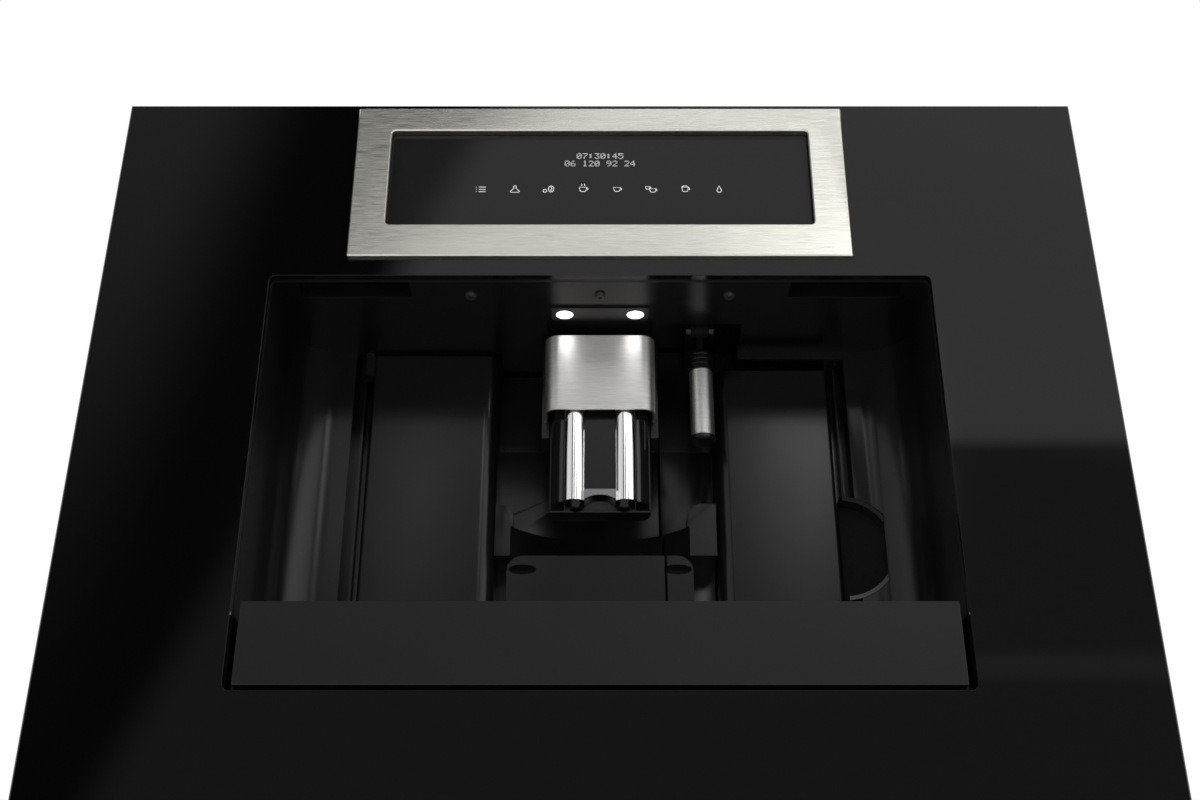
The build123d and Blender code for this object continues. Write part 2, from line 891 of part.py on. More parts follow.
with BuildPart() as lamp_lenses:
    for x in (-lamp_at, lamp_at):
        post(x, lamp_back, lamp_radius, ceiling - holder_drop, ceiling + liner_wall)
    chamfer(lamp_lenses.faces().group_by(Axis.Z)[0].edges(), lamp_edge)
    for x in (-lamp_at, lamp_at):
        post(x, lamp_back, lamp_radius + lamp_rim, ceiling + liner_wall, ceiling + 2 * liner_wall)
save("lamp_lenses", lamp_lenses.part)

# Wall behind the cup: a recess, a concave band with two ears, and a box form below. The
# service door carries most of it and a fixed strip carries the rest.
door_low = below(door_bottom)
door_high = below(door_top)


def cup_wall_forms(left, right, low, high):
    """The wall's forms between two X, added to the open part."""
    slab((left, right), (recess_depth, wall_back), (low, high))
    slab(
        (left, right),
        (recess_depth - overcut, recess_depth + crease),
        (below(crease_at), below(crease_at) + crease),
        Mode.SUBTRACT,
    )
    with BuildSketch(Plane.XY.offset(below(band_bottom))) as band:
        plan(max(left, -bulge_inner), right, band_front, recess_depth)
        with Locations((0, behind(recess_depth - band_radius))):
            Circle(band_radius, mode=Mode.SUBTRACT)
    extrude(to_extrude=band.sketch, amount=band_bottom - band_top)
    with BuildSketch(upright(recess_depth)) as ears:
        patch(-bulge_inner, -ear_inner, below(band_top), below(ear_top))
        patch(ear_inner, strip_right, below(band_top), below(ear_top))
        fillet(ears.vertices().group_by(Axis.Y)[-1].sort_by(Axis.X)[1:3], ear_round)
        patch(left, right, below(band_top), below(ear_top), Mode.INTERSECT)
    extrude(to_extrude=ears.sketch, amount=recess_depth - band_front)
    with BuildSketch(upright(recess_depth)) as pod:
        patch(-pod_half, pod_half, low, below(band_bottom))
        fillet(pod.vertices().group_by(Axis.Y)[-1], pod_round)
        patch(left, right, low, below(band_bottom), Mode.INTERSECT)
    extrude(to_extrude=pod.sketch, amount=recess_depth - band_front)
    with BuildSketch(upright(band_front + dimple_depth)) as dimples:
        with Locations((0, below(band_bottom + dimple_drop))):
            with GridLocations(2 * dimple_at, 1, 2, 1):
                Ellipse(dimple_width / 2, dimple_height / 2)
    extrude(to_extrude=dimples.sketch, amount=dimple_depth, mode=Mode.SUBTRACT)


with BuildPart() as door_panel:
    cup_wall_forms(-door_edge, strip_left, door_low, door_high)
    with BuildSketch(Plane.XY.offset(door_low)) as left_bulge:
        plan(-door_edge, -bulge_inner, niche_depth, wall_back)
        front_corners = left_bulge.vertices().group_by(Axis.Y)[0].sort_by(Axis.X)
        fillet(front_corners[0], bulge_corner)
        fillet(left_bulge.vertices().group_by(Axis.Y)[0].sort_by(Axis.X)[-1], bulge_round)
    extrude(amount=door_high - door_low)
    slab(
        (shell_wall - door_edge, -bulge_inner - bulge_round),
        (niche_depth + shell_wall, wall_back),
        (door_low + shell_wall, door_high - shell_wall),
        Mode.SUBTRACT,
    )
    # The free edge is turned about the hinge, so it swings past the fixed strip.
    with BuildSketch(Plane.XY.offset(door_low)):
        with Locations((hinge_x, behind(hinge_back))):
            Circle(door_reach)
    extrude(amount=door_high - door_low, mode=Mode.INTERSECT)
    for low in (door_low, door_high - knuckle_height):
        post(hinge_x, hinge_back, knuckle_radius, low, low + knuckle_height)
        leaf = (hinge_back - bulge_corner, hinge_back + knuckle_radius)
        slab((hinge_x, -door_edge), leaf, (low, low + knuckle_height))
        post(hinge_x, hinge_back, hinge_pin, low, low + knuckle_height, Mode.SUBTRACT)
save("door_panel", door_panel.part)

with BuildPart() as door_cover:
    with BuildSketch(Plane.XY.offset(door_low + side_gap)):
        with Locations((hinge_x, behind(hinge_back))):
            Circle(door_reach - side_gap)
        plan(shell_wall - door_edge, strip_left, wall_back, wall_back + cover_thick, Mode.INTERSECT)
    extrude(amount=door_high - door_low - 2 * side_gap)
    with BuildSketch(upright(wall_back + 2 * cover_thick)):
        with Locations(((strip_left - door_edge) / 2, (door_low + door_high) / 2)):
            with GridLocations(cover_rib_pitch, 1, 6, 1):
                Rectangle(cover_thick, door_high - door_low - 2 * cover_rib_margin)
    extrude(amount=cover_thick)
save("door_cover", door_cover.part)

with BuildPart() as hinge_pins:
    post(hinge_x, hinge_back, hinge_pin, sill_top - liner_wall, door_low + knuckle_height)
    post(hinge_x, hinge_back, hinge_pin, door_high - knuckle_height, ceiling + liner_wall)
save("hinge_pins", hinge_pins.part)

latch_x = strip_left - latch_setback
latch_z = below(latch_drop)
latch_back = wall_back + latch_depth
with BuildPart() as door_latch:
    slab(
        (latch_x - latch_width, latch_x),
        (wall_back + cover_thick, latch_back),
        (latch_z - latch_height / 2, latch_z + latch_height / 2),
    )
    slab(
        (latch_x - latch_width, latch_x + bolt_reach),
        (latch_back, latch_back + bolt_thick),
        (latch_z - latch_height / 4, latch_z + latch_height / 4),
    )
save("door_latch", door_latch.part)

# Fixed strip beside the door; its top carries the nozzle's two lugs.
strip_high = below(nozzle_pivot) + lug_radius
with BuildPart() as nozzle_panel:
    # The strip starts inside the door's swing, which then cuts its edge to a clear arc.
    cup_wall_forms(strip_left - panel_wall, strip_right, sill_top, strip_high)
    sweep = door_reach + side_gap
    post(hinge_x, hinge_back, sweep, sill_top - overcut, strip_high + overcut, Mode.SUBTRACT)
    for inner in (nozzle_x - barrel_half - lug_wall - bay_gap, nozzle_x + barrel_half + bay_gap):
        with BuildSketch(Plane.YZ.offset(inner)):
            with Locations((behind(nozzle_back), below(nozzle_pivot))):
                Circle(lug_radius)
            patch(behind(nozzle_back), behind(recess_depth), strip_high - 2 * lug_radius, strip_high)
            with Locations((behind(nozzle_back), below(nozzle_pivot))):
                Circle(nozzle_pin + hinge_play, mode=Mode.SUBTRACT)
        extrude(amount=lug_wall)
save("nozzle_panel", nozzle_panel.part)

# Hot-water nozzle: pipe with its pivot, steel sleeve, black tip.
pivot_z = below(nozzle_pivot)
pin_half = barrel_half + bay_gap + lug_wall
with BuildPart() as nozzle_pipe:
    post(nozzle_x, nozzle_back, nozzle_pipe_radius, below(sleeve_bottom), pivot_z)
    axle(nozzle_x - barrel_half, nozzle_x + barrel_half, nozzle_back, pivot_z, barrel_radius)
    axle(nozzle_x - pin_half, nozzle_x + pin_half, nozzle_back, pivot_z, nozzle_pin)
save("nozzle_pipe", nozzle_pipe.part)

with BuildPart() as nozzle_sleeve:
    with BuildSketch(Plane.XY.offset(below(sleeve_bottom))):
        with Locations((nozzle_x, behind(nozzle_back))):
            Circle(sleeve_radius)
            Circle(sleeve_radius - sleeve_wall, mode=Mode.SUBTRACT)
    extrude(amount=sleeve_bottom - sleeve_top)
    fillet(nozzle_sleeve.edges().filter_by(GeomType.CIRCLE).group_by(SortBy.RADIUS)[-1], sleeve_wall / 2)
save("nozzle_sleeve", nozzle_sleeve.part)

with BuildPart() as nozzle_tip:
    post(nozzle_x, nozzle_back, sleeve_radius - sleeve_wall, below(sleeve_bottom), below(sleeve_top))
    post(nozzle_x, nozzle_back, sleeve_radius + tip_lip, below(tip_bottom), below(sleeve_bottom))
    chamfer(nozzle_tip.faces().sort_by(Axis.Z)[0].edges(), tip_taper)
    post(nozzle_x, nozzle_back, collar_radius, below(sleeve_top), below(sleeve_top - collar_height))
    collar_pitch = collar_height / collar_ribs
    for rib in range(1, collar_ribs):
        rib_z = below(sleeve_top) + rib * collar_pitch
        with Locations((nozzle_x, behind(nozzle_back), rib_z)):
            Torus(collar_radius, rib_cut, mode=Mode.SUBTRACT)
    fillet(nozzle_tip.faces().sort_by(Axis.Z)[-1].outer_wire().edges(), rib_cut)
    collar_high = below(sleeve_top - collar_height)
    post(nozzle_x, nozzle_back, nozzle_pipe_radius, below(sleeve_bottom), collar_high, Mode.SUBTRACT)
    tip_bore = nozzle_pipe_radius - pipe_wall
    post(nozzle_x, nozzle_back, tip_bore, below(tip_bottom), below(sleeve_bottom), Mode.SUBTRACT)
save("nozzle_tip", nozzle_tip.part)

# Coffee spout: steel cap and black guide on the door, chrome outlet that slides in them.
with BuildPart() as spout_cap:
    with BuildSketch(Plane.XY.offset(below(cap_bottom))) as cap_outer:
        plan(-cap_half, cap_half, cap_front, cap_back)
        fillet(cap_outer.vertices().group_by(Axis.Y)[0], cap_round)
    extrude(amount=cap_bottom - cap_top)
    fillet(spout_cap.edges().group_by(Axis.Z)[-1].group_by(Axis.Y)[0], cap_wall / 2)
    with BuildSketch(Plane.XY.offset(below(cap_bottom))) as cap_inner:
        plan(cap_wall - cap_half, cap_half - cap_wall, cap_front + cap_wall, cap_back)
        fillet(cap_inner.vertices().group_by(Axis.Y)[0], cap_round - cap_wall)
    extrude(amount=cap_bottom - cap_top - cap_wall, mode=Mode.SUBTRACT)
save("spout_cap", spout_cap.part)

with BuildPart() as spout_guide:
    slab((-guide_half, guide_half), (cap_back, guide_back), (below(guide_bottom), door_high))
    slab(
        (guide_side - guide_half, guide_half - guide_side),
        (cap_back, guide_back - guide_web),
        (below(guide_bottom), door_high - 2 * cap_wall),
        Mode.SUBTRACT,
    )
    slab((-guide_boss, guide_boss), (guide_back, recess_depth), (below(guide_bottom), door_high - cap_wall))
save("spout_guide", spout_guide.part)

with BuildPart() as spout_shell:
    with BuildSketch(Plane.XY.offset(below(spout_bottom))) as shell_plan:
        plan(-spout_half, spout_half, spout_front, spout_back)
        fillet(shell_plan.vertices().group_by(Axis.Y)[0], spout_round)
        for x in (-column_at, column_at):
            with Locations((x, behind(spout_front + column_sink))):
                Circle(column_radius)
        with Locations((0, behind(spout_front))):
            Rectangle(2 * spout_window_half, 2 * spout_window_depth, mode=Mode.SUBTRACT)
    extrude(amount=spout_bottom - spout_top)
    slab(
        (-spout_window_half, spout_window_half),
        (spout_front + column_sink - column_radius, spout_front + spout_window_depth),
        (below(spout_bottom), below(spout_window_bottom)),
    )
    with BuildSketch(upright(spout_back)):
        with Locations((0, below(spout_bottom) - arch_radius + arch_rise)):
            Circle(arch_radius)
    extrude(amount=spout_back - cap_front, mode=Mode.SUBTRACT)
    outlet_back = (spout_front + spout_back) / 2
    outlet_top = below(spout_bottom - outlet_socket)
    for x in (-outlet_at, outlet_at):
        post(x, outlet_back, outlet_radius, below(spout_bottom), outlet_top, Mode.SUBTRACT)
save("spout_shell", spout_shell.part)

with BuildPart() as spout_outlets:
    for x in (-outlet_at, outlet_at):
        post(x, outlet_back, outlet_radius, below(spout_bottom + outlet_drop), outlet_top)
    chamfer(spout_outlets.faces().group_by(Axis.Z)[0].edges(), outlet_edge)
    for x in (-outlet_at, outlet_at):
        post(x, outlet_back, outlet_bore, below(spout_bottom + outlet_drop), outlet_top, Mode.SUBTRACT)
save("spout_outlets", spout_outlets.part)

with BuildPart() as spout_window:
    slab(
        (-spout_window_half, spout_window_half),
        (spout_front + spout_window_depth / 2, spout_front + spout_window_depth),
        (below(spout_window_bottom), below(spout_top)),
    )
save("spout_window", spout_window.part)

body_half = guide_half - guide_side - spout_play
with BuildPart() as spout_body:
    with BuildSketch(Plane.XY.offset(below(body_bottom))) as body_plan:
        plan(-body_half, body_half, spout_back, guide_back - guide_web - spout_play)
        fillet(body_plan.vertices().group_by(Axis.Y)[-1], body_round)
    extrude(amount=body_bottom - body_top)
    fillet(spout_body.faces().sort_by(Axis.Z)[0].edges(), body_edge)
save("spout_body", spout_body.part)

# Water tank: a front like the door's bulge, a tub behind it, lid and valve.
tank_high = below(tank_top)
with BuildPart() as tank_front:
    with BuildSketch(Plane.XY.offset(door_low)) as tank_plan:
        plan(tank_left, door_edge, niche_depth, wall_back)
        fillet(tank_plan.vertices().group_by(Axis.Y)[0].sort_by(Axis.X)[0], bulge_round)
        fillet(tank_plan.vertices().group_by(Axis.Y)[0].sort_by(Axis.X)[-1], bulge_corner)
    extrude(amount=tank_high - door_low)
    with BuildSketch(Plane.XY.offset(door_low + shell_wall)) as tank_hollow:
        plan(tank_left + shell_wall, door_edge - shell_wall, niche_depth + shell_wall, wall_back)
        fillet(tank_hollow.vertices().group_by(Axis.Y)[0].sort_by(Axis.X)[0], bulge_round - shell_wall)
    extrude(amount=tank_high - door_low - 2 * shell_wall, mode=Mode.SUBTRACT)
    slab(
        (door_edge - shell_wall - overcut, door_edge + overcut),
        (niche_depth + shell_wall, niche_depth + grip_reach),
        (below(cup_drop) - grip_slot, below(cup_drop) + grip_slot),
        Mode.SUBTRACT,
    )
save("tank_front", tank_front.part)

tank_middle = (tank_left + door_edge) / 2
tub_half = (door_edge - tank_left) / 2 - tub_step
tub_high = door_low + tank_height
valve_z = door_low + valve_height
neck_radius = valve_radius - valve_seat
with BuildPart() as tank_shell:
    with BuildSketch(Plane.XY.offset(door_low)) as tank_tub:
        plan(tank_middle - tub_half, tank_middle + tub_half, wall_back, tank_back)
        fillet(tank_tub.vertices().group_by(Axis.Y)[-1], tank_corner)
    extrude(amount=tank_height)
    with BuildSketch(Plane.XY.offset(door_low + tank_wall)) as tank_space:
        space_half = tub_half - tank_wall
        space_front = wall_back + tank_wall
        plan(tank_middle - space_half, tank_middle + space_half, space_front, tank_back - tank_wall)
        fillet(tank_space.vertices().group_by(Axis.Y)[-1], tank_corner - tank_wall)
    extrude(amount=tank_height, mode=Mode.SUBTRACT)
    barrel(tank_middle, valve_z, neck_radius, tank_back - 2 * tank_wall, tank_back + overcut, Mode.SUBTRACT)
save("tank_shell", tank_shell.part)

with BuildPart() as tank_lid:
    with BuildSketch(Plane.XY.offset(tub_high)) as lid_plan:
        plan(tank_middle - tub_half, tank_middle + tub_half, wall_back, tank_back)
        fillet(lid_plan.vertices().group_by(Axis.Y)[-1], tank_corner)
    extrude(amount=tank_lid_thick)
    slab(
        (tank_middle - tank_grip_half, tank_middle + tank_grip_half),
        (wall_back + tank_grip_back, wall_back + tank_grip_back + tank_grip_width),
        (tub_high + tank_lid_thick, tub_high + tank_lid_thick + tank_grip_rise),
    )
save("tank_lid", tank_lid.part)

with BuildPart() as tank_valve:
    barrel(tank_middle, valve_z, neck_radius, tank_back - tank_wall, tank_back)
    barrel(tank_middle, valve_z, valve_radius, tank_back, tank_back + valve_length)
    chamfer(tank_valve.faces().sort_by(Axis.Y)[-1].edges(), valve_edge)
    barrel(tank_middle, valve_z, valve_bore, tank_back - tank_wall, tank_back + valve_length, Mode.SUBTRACT)
save("tank_valve", tank_valve.part)

# Drip tray: front, tub, cup grille, and the float that rises through it.
tray_back = tray_face + tray_front_thick
tub_low = bay_floor + bay_gap
tray_tub_half = niche_half - tub_gap
with BuildPart() as tray_front:
    slab((-tray_half, tray_half), (tray_face, tray_back), (below(tray_bottom), below(tray_top)))
    chamfer(tray_front.faces().sort_by(Axis.Y)[0].edges(), tray_edge)
save("tray_front", tray_front.part)

tub_top = tub_low + tub_height
with BuildPart() as tray_tub:
    with BuildSketch(Plane.XY.offset(tub_low)) as tub_outer:
        plan(-tray_tub_half, tray_tub_half, tray_back, tub_back)
        fillet(tub_outer.vertices().group_by(Axis.Y)[-1], tub_round)
    extrude(amount=tub_height)
    with BuildSketch(Plane.XY.offset(tub_low + tub_wall)) as tub_inner:
        plan(tub_wall - tray_tub_half, tray_tub_half - tub_wall, tray_back + tub_wall, tub_back - tub_wall)
        fillet(tub_inner.vertices().group_by(Axis.Y)[-1], tub_round - tub_wall)
    extrude(amount=tub_height, mode=Mode.SUBTRACT)
    fillet(tray_tub.faces().sort_by(Axis.Z)[0].edges(), tub_wall)
    tub_floor = tub_low + tub_wall
    post(float_x, float_back, seat_radius, tub_floor, tub_floor + float_seat)
save("tray_tub", tray_tub.part)

grille_top = tub_top + grille_wall
with BuildPart() as cup_grille:
    with BuildSketch(Plane.XY.offset(tub_top)) as grille_plan:
        plan(-tray_tub_half, tray_tub_half, tray_back, tub_back)
        fillet(grille_plan.vertices().group_by(Axis.Y)[-1], tub_round)
        grille_middle = (tray_back + tub_back) / 2
        with Locations((0, behind(grille_middle))):
            with GridLocations(slot_pitch, slot_length + slot_gap, slot_columns, 2):
                SlotOverall(slot_length, slot_width, rotation=90, mode=Mode.SUBTRACT)
        with Locations((float_x, behind(float_back))):
            Circle(float_radius + float_ring)
            Circle(float_radius + float_play, mode=Mode.SUBTRACT)
    extrude(amount=grille_wall)
save("cup_grille", cup_grille.part)

float_top = grille_top - float_below
float_rest = tub_floor + float_seat
with BuildPart() as tray_float:
    post(float_x, float_back, float_radius, float_rest, float_top)
    post(float_x, float_back, float_body, float_rest, float_rest + float_body_height)
    fillet(tray_float.faces().sort_by(Axis.Z)[-1].edges(), float_edge)
save("tray_float", tray_float.part)

# Chassis: deck behind the niche, bulkhead for the brewing gear, socket for the tank.
with BuildPart() as chassis_deck:
    slab((-inner_half, inner_half), (wall_back, deck_back), (sill_top - liner_wall, sill_top))
    slab(
        (bulkhead_left, bulkhead_right),
        (bulkhead_at, bulkhead_at + bulkhead_wall),
        (sill_top, sill_top + bulkhead_height),
    )
    socket_size = valve_radius + socket_wall
    slab(
        (tank_middle - socket_size, tank_middle + socket_size),
        (tank_back + socket_gap, tank_back + valve_length + socket_floor),
        (sill_top, valve_z + socket_size),
    )
    socket_bore = valve_radius + valve_play
    barrel(tank_middle, valve_z, socket_bore, tank_back, tank_back + valve_length + overcut, Mode.SUBTRACT)
save("chassis_deck", chassis_deck.part)

brew_low = sill_top + brew_bottom
brew_high = brew_low + brew_height
with BuildPart() as brew_unit:
    with BuildSketch(Plane.XY.offset(brew_low)) as brew_plan:
        plan(brew_x - brew_width / 2, brew_x + brew_width / 2, brew_front, bulkhead_at)
        fillet(brew_plan.vertices().group_by(Axis.Y)[0], brew_corner)
    extrude(amount=brew_shoulder)
    chamber_back = bulkhead_at - chamber_step - chamber_radius
    post(brew_x, chamber_back, chamber_radius, brew_low, brew_high)
    chamber_bore = chamber_radius - chamber_wall
    post(brew_x, chamber_back, chamber_bore, brew_high - chamber_mouth, brew_high, Mode.SUBTRACT)
    slab(
        (brew_x - brew_spout_half, brew_x + brew_spout_half),
        (brew_front - brew_spout_depth, brew_front),
        (brew_low, brew_low + brew_spout_height),
    )
save("brew_unit", brew_unit.part)

with BuildPart() as brew_motor:
    gearbox_front = bulkhead_at + bulkhead_wall
    motor_front = gearbox_front + gearbox_depth
    motor_z = sill_top + motor_height
    barrel(brew_x, motor_z, motor_radius, motor_front, motor_front + motor_length)
    slab(
        (brew_x - gearbox_half, brew_x + gearbox_half),
        (gearbox_front, motor_front),
        (motor_z - gearbox_low, motor_z + gearbox_high),
    )
save("brew_motor", brew_motor.part)

grinder_low = sill_top + grinder_bottom
grinder_high = grinder_low + grinder_height
with BuildPart() as grinder:
    post(brew_x, grinder_back, grinder_radius, grinder_low, grinder_high)
    post(brew_x, grinder_back, grinder_radius - grinder_collar, grinder_low - grinder_foot, grinder_low)
    slab(
        (brew_x - grinder_arm, brew_x + grinder_arm),
        (bulkhead_at + bulkhead_wall, grinder_back),
        (grinder_low + grinder_arm_inset, grinder_high - grinder_arm_inset),
    )
    fillet(grinder.faces().sort_by(Axis.Z)[-1].edges(), grinder_round)
save("grinder", grinder.part)

hopper_high = case_top - sheet
with BuildPart() as bean_hopper:
    with BuildSketch(Plane.XY.offset(hopper_high)) as hopper_mouth:
        with Locations((brew_x, behind(grinder_back))):
            RectangleRounded(hopper_width, hopper_depth, hopper_corner)
    with BuildSketch(Plane.XY.offset(grinder_high)) as hopper_foot:
        with Locations((brew_x, behind(grinder_back))):
            RectangleRounded(2 * hopper_neck, 2 * hopper_neck, hopper_neck - neck_flat)
    loft()
    with BuildSketch(Plane.XY.offset(hopper_high)) as mouth_space:
        with Locations((brew_x, behind(grinder_back))):
            mouth_width = hopper_width - 2 * hopper_wall
            mouth_depth = hopper_depth - 2 * hopper_wall
            RectangleRounded(mouth_width, mouth_depth, hopper_corner - hopper_wall)
    with BuildSketch(Plane.XY.offset(grinder_high)) as foot_space:
        with Locations((brew_x, behind(grinder_back))):
            neck_space = hopper_neck - hopper_wall
            RectangleRounded(2 * neck_space, 2 * neck_space, neck_space - neck_flat)
    loft(mode=Mode.SUBTRACT)
save("bean_hopper", bean_hopper.part)

with BuildPart() as preground_chute:
    with BuildSketch(Plane.XY.offset(hopper_high)):
        with Locations((brew_x, behind(chute_back))):
            RectangleRounded(chute_width, chute_depth, chute_corner)
    with BuildSketch(Plane.XY.offset(brew_high)):
        with Locations((brew_x, behind(chamber_back))):
            RectangleRounded(2 * chute_neck, 2 * chute_neck, chute_corner)
    loft()
    with BuildSketch(Plane.XY.offset(hopper_high)):
        with Locations((brew_x, behind(chute_back))):
            slot_wide = chute_width - 2 * chute_wall
            slot_deep = chute_depth - 2 * chute_wall
            RectangleRounded(slot_wide, slot_deep, chute_corner - chute_wall)
    with BuildSketch(Plane.XY.offset(brew_high)):
        with Locations((brew_x, behind(chamber_back))):
            neck_wide = 2 * (chute_neck - chute_wall)
            RectangleRounded(neck_wide, neck_wide, chute_corner - chute_wall)
    loft(mode=Mode.SUBTRACT)
save("preground_chute", preground_chute.part)

with BuildPart() as grounds_container:
    with BuildSketch(Plane.XY.offset(sill_top)) as bin_plan:
        plan(brew_x - container_width / 2, brew_x + container_width / 2, container_front, container_back)
        fillet(bin_plan.vertices(), container_corner)
    extrude(amount=container_height, taper=container_draft)
    with BuildSketch(Plane.XY.offset(sill_top + container_wall)) as bin_space:
        bin_half = container_width / 2 - container_wall
        bin_front = container_front + container_wall
        plan(brew_x - bin_half, brew_x + bin_half, bin_front, container_back - container_wall)
        fillet(bin_space.vertices(), container_corner - container_wall)
    extrude(amount=container_height, taper=container_draft, mode=Mode.SUBTRACT)
save("grounds_container", grounds_container.part)

boiler_x = boiler_side - case_half
with BuildPart() as boiler:
    boiler_z = sill_top + boiler_foot + boiler_radius
    barrel(boiler_x, boiler_z, boiler_radius, boiler_front, boiler_front + boiler_length)
    for depth in (boiler_front + strap_inset, boiler_front + boiler_length - strap_inset):
        barrel(boiler_x, boiler_z, boiler_radius + strap_thick, depth - strap_half, depth + strap_half)
        slab(
            (boiler_x - boiler_foot_half, boiler_x + boiler_foot_half),
            (depth - strap_half, depth + strap_half),
            (sill_top, boiler_z),
        )
    barrel(boiler_x, boiler_z, boiler_pipe, boiler_front - boiler_pipe_length, boiler_front)
save("boiler", boiler.part)

pan_floor = case_bottom + sheet
pump_x = boiler_x
pump_z = pan_floor + mount_height + coil_size / 2
with BuildPart() as pump:
    barrel(pump_x, pump_z, pump_radius, pump_front, pump_front + pump_length)
    slab(
        (pump_x - coil_size / 2, pump_x + coil_size / 2),
        (pump_front + coil_setback, pump_front + coil_setback + coil_size),
        (pump_z - coil_size / 2, pump_z + coil_size / 2),
    )
    barrel(pump_x, pump_z, pump_pipe, pump_front - pump_pipe_length, pump_front)
save("pump", pump.part)

with BuildPart() as pump_mounts:
    mount_front = pump_front + mount_setback
    slab(
        (pump_x - mount_half, pump_x + mount_half),
        (mount_front, mount_front + mount_length),
        (pan_floor, pan_floor + mount_height),
    )
save("pump_mounts", pump_mounts.part)

board_x = inner_half - board_gap
with BuildPart() as power_board:
    board_low = sill_top + board_rise
    board_face = board_x - board_thick
    slab(
        (board_face, board_x),
        (board_front, board_front + board_length),
        (board_low, board_low + board_height),
    )
    for depth in (board_front + board_corner, board_front + board_length - board_corner):
        for z in (board_low + board_corner, board_low + board_height - board_corner):
            axle(board_x, inner_half, depth, z, standoff_radius)
    for along, up, size in board_parts:
        depth = board_front + along * board_length
        z = board_low + up * board_height
        slab(
            (board_face - size * board_part_depth, board_face),
            (depth - size / 2, depth + size / 2),
            (z - size / 2, z + size / 2),
        )
save("power_board", power_board.part)

# Mains inlet with its switch, in the back of the case.
rocker_x = inlet_x + inlet_frame / 2 - rocker_width
socket_x = inlet_x - rocker_width
with BuildPart() as mains_inlet:
    slab(
        (inlet_x - inlet_frame / 2, inlet_x + inlet_frame / 2),
        (case_depth - inlet_depth, case_depth),
        (inlet_top - inlet_width / 2, inlet_top + inlet_width / 2),
    )
    slab(
        (socket_x - socket_half, socket_x + socket_half),
        (case_depth - socket_depth, case_depth),
        (inlet_top - socket_rise, inlet_top + socket_rise),
        Mode.SUBTRACT,
    )
    # The three contacts stand in the socket, the middle one higher.
    for x, z in ((-contact_pitch, -contact_rise), (0, contact_rise), (contact_pitch, -contact_rise)):
        slab(
            (socket_x + x - contact_width / 2, socket_x + x + contact_width / 2),
            (case_depth - socket_depth, case_depth - contact_depth),
            (inlet_top + z - contact_height / 2, inlet_top + z + contact_height / 2),
        )
    slab(
        (rocker_x - rocker_width / 2 - rocker_play, rocker_x + rocker_width / 2 + rocker_play),
        (case_depth - rocker_well, case_depth),
        (inlet_top - rocker_height / 2 - rocker_play, inlet_top + rocker_height / 2 + rocker_play),
        Mode.SUBTRACT,
    )
save("mains_inlet", mains_inlet.part)

# The rocker lies tipped to its off side, and turns about its own pin.
rocker_plane = Plane(
    origin=(rocker_x - rocker_width / 2, behind(case_depth - rocker_pin_depth), inlet_top),
    x_dir=(0, cos(radians(rocker_tip)), sin(radians(rocker_tip))),
    z_dir=(1, 0, 0),
)
with BuildPart() as power_switch:
    with BuildSketch(rocker_plane):
        with BuildLine():
            Polyline(
                (-rocker_root, -rocker_foot),
                (rocker_edge, -rocker_height / 2),
                (rocker_rise, -rocker_height / 2),
                (rocker_face, 0),
                (rocker_rise, rocker_height / 2),
                (rocker_edge, rocker_height / 2),
                (-rocker_root, rocker_foot),
                close=True,
            )
        make_face()
    extrude(amount=rocker_width)
    axle(
        rocker_x - rocker_width / 2 - rocker_play,
        rocker_x + rocker_width / 2 + rocker_play,
        case_depth - rocker_pin_depth,
        inlet_top,
        rocker_pin,
    )
save("power_switch", power_switch.part)

# Lids and knob on top of the case.
with BuildPart() as bean_lid:
    with BuildSketch(Plane.XY.offset(lid_low)) as bean_lid_plan:
        lid_front = bean_front - lid_overlap / 2
        plan(brew_x - bean_lid_half, brew_x + bean_lid_half, lid_front, bean_axis - lid_knuckle)
        fillet(bean_lid_plan.vertices().group_by(Axis.Y)[0], lid_overlap)
    extrude(amount=lid_thick)
    with BuildSketch(Plane.XY.offset(lid_low)):
        with Locations((brew_x, behind(bean_front + bean_grip_width))):
            SlotOverall(bean_grip_length, bean_grip_width)
    extrude(amount=lid_thick + lid_grip_rise)
    lid_barrel(brew_x, bean_lid_half, bean_axis)
save("bean_lid", bean_lid.part)

with BuildPart() as preground_flap:
    with BuildSketch(Plane.XY.offset(lid_low)) as flap_plan:
        plan(brew_x - flap_half, brew_x + flap_half, chute_front - flap_overlap, flap_axis - lid_knuckle)
        fillet(flap_plan.vertices().group_by(Axis.Y)[0], flap_overlap)
    extrude(amount=lid_thick)
    with BuildSketch(Plane.XY.offset(lid_low)):
        with Locations((brew_x, behind(chute_front + flap_grip_width / 2))):
            SlotOverall(flap_grip_length, flap_grip_width)
    extrude(amount=lid_thick + lid_grip_rise)
    lid_barrel(brew_x, flap_half, flap_axis)
save("preground_flap", preground_flap.part)

with BuildPart() as grind_knob:
    with BuildSketch(Plane.XY.offset(lid_low)):
        with Locations((knob_x, behind(knob_back))):
            Circle(knob_radius)
            with PolarLocations(knob_radius, knob_flutes):
                Circle(knob_flute_radius, mode=Mode.SUBTRACT)
    extrude(amount=knob_height)
    chamfer(grind_knob.faces().sort_by(Axis.Z)[-1].edges(), knob_edge)
    post(knob_x, knob_back, knob_shaft, case_top - knob_shaft_length, lid_low)
save("grind_knob", grind_knob.part)
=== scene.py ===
import json
import math

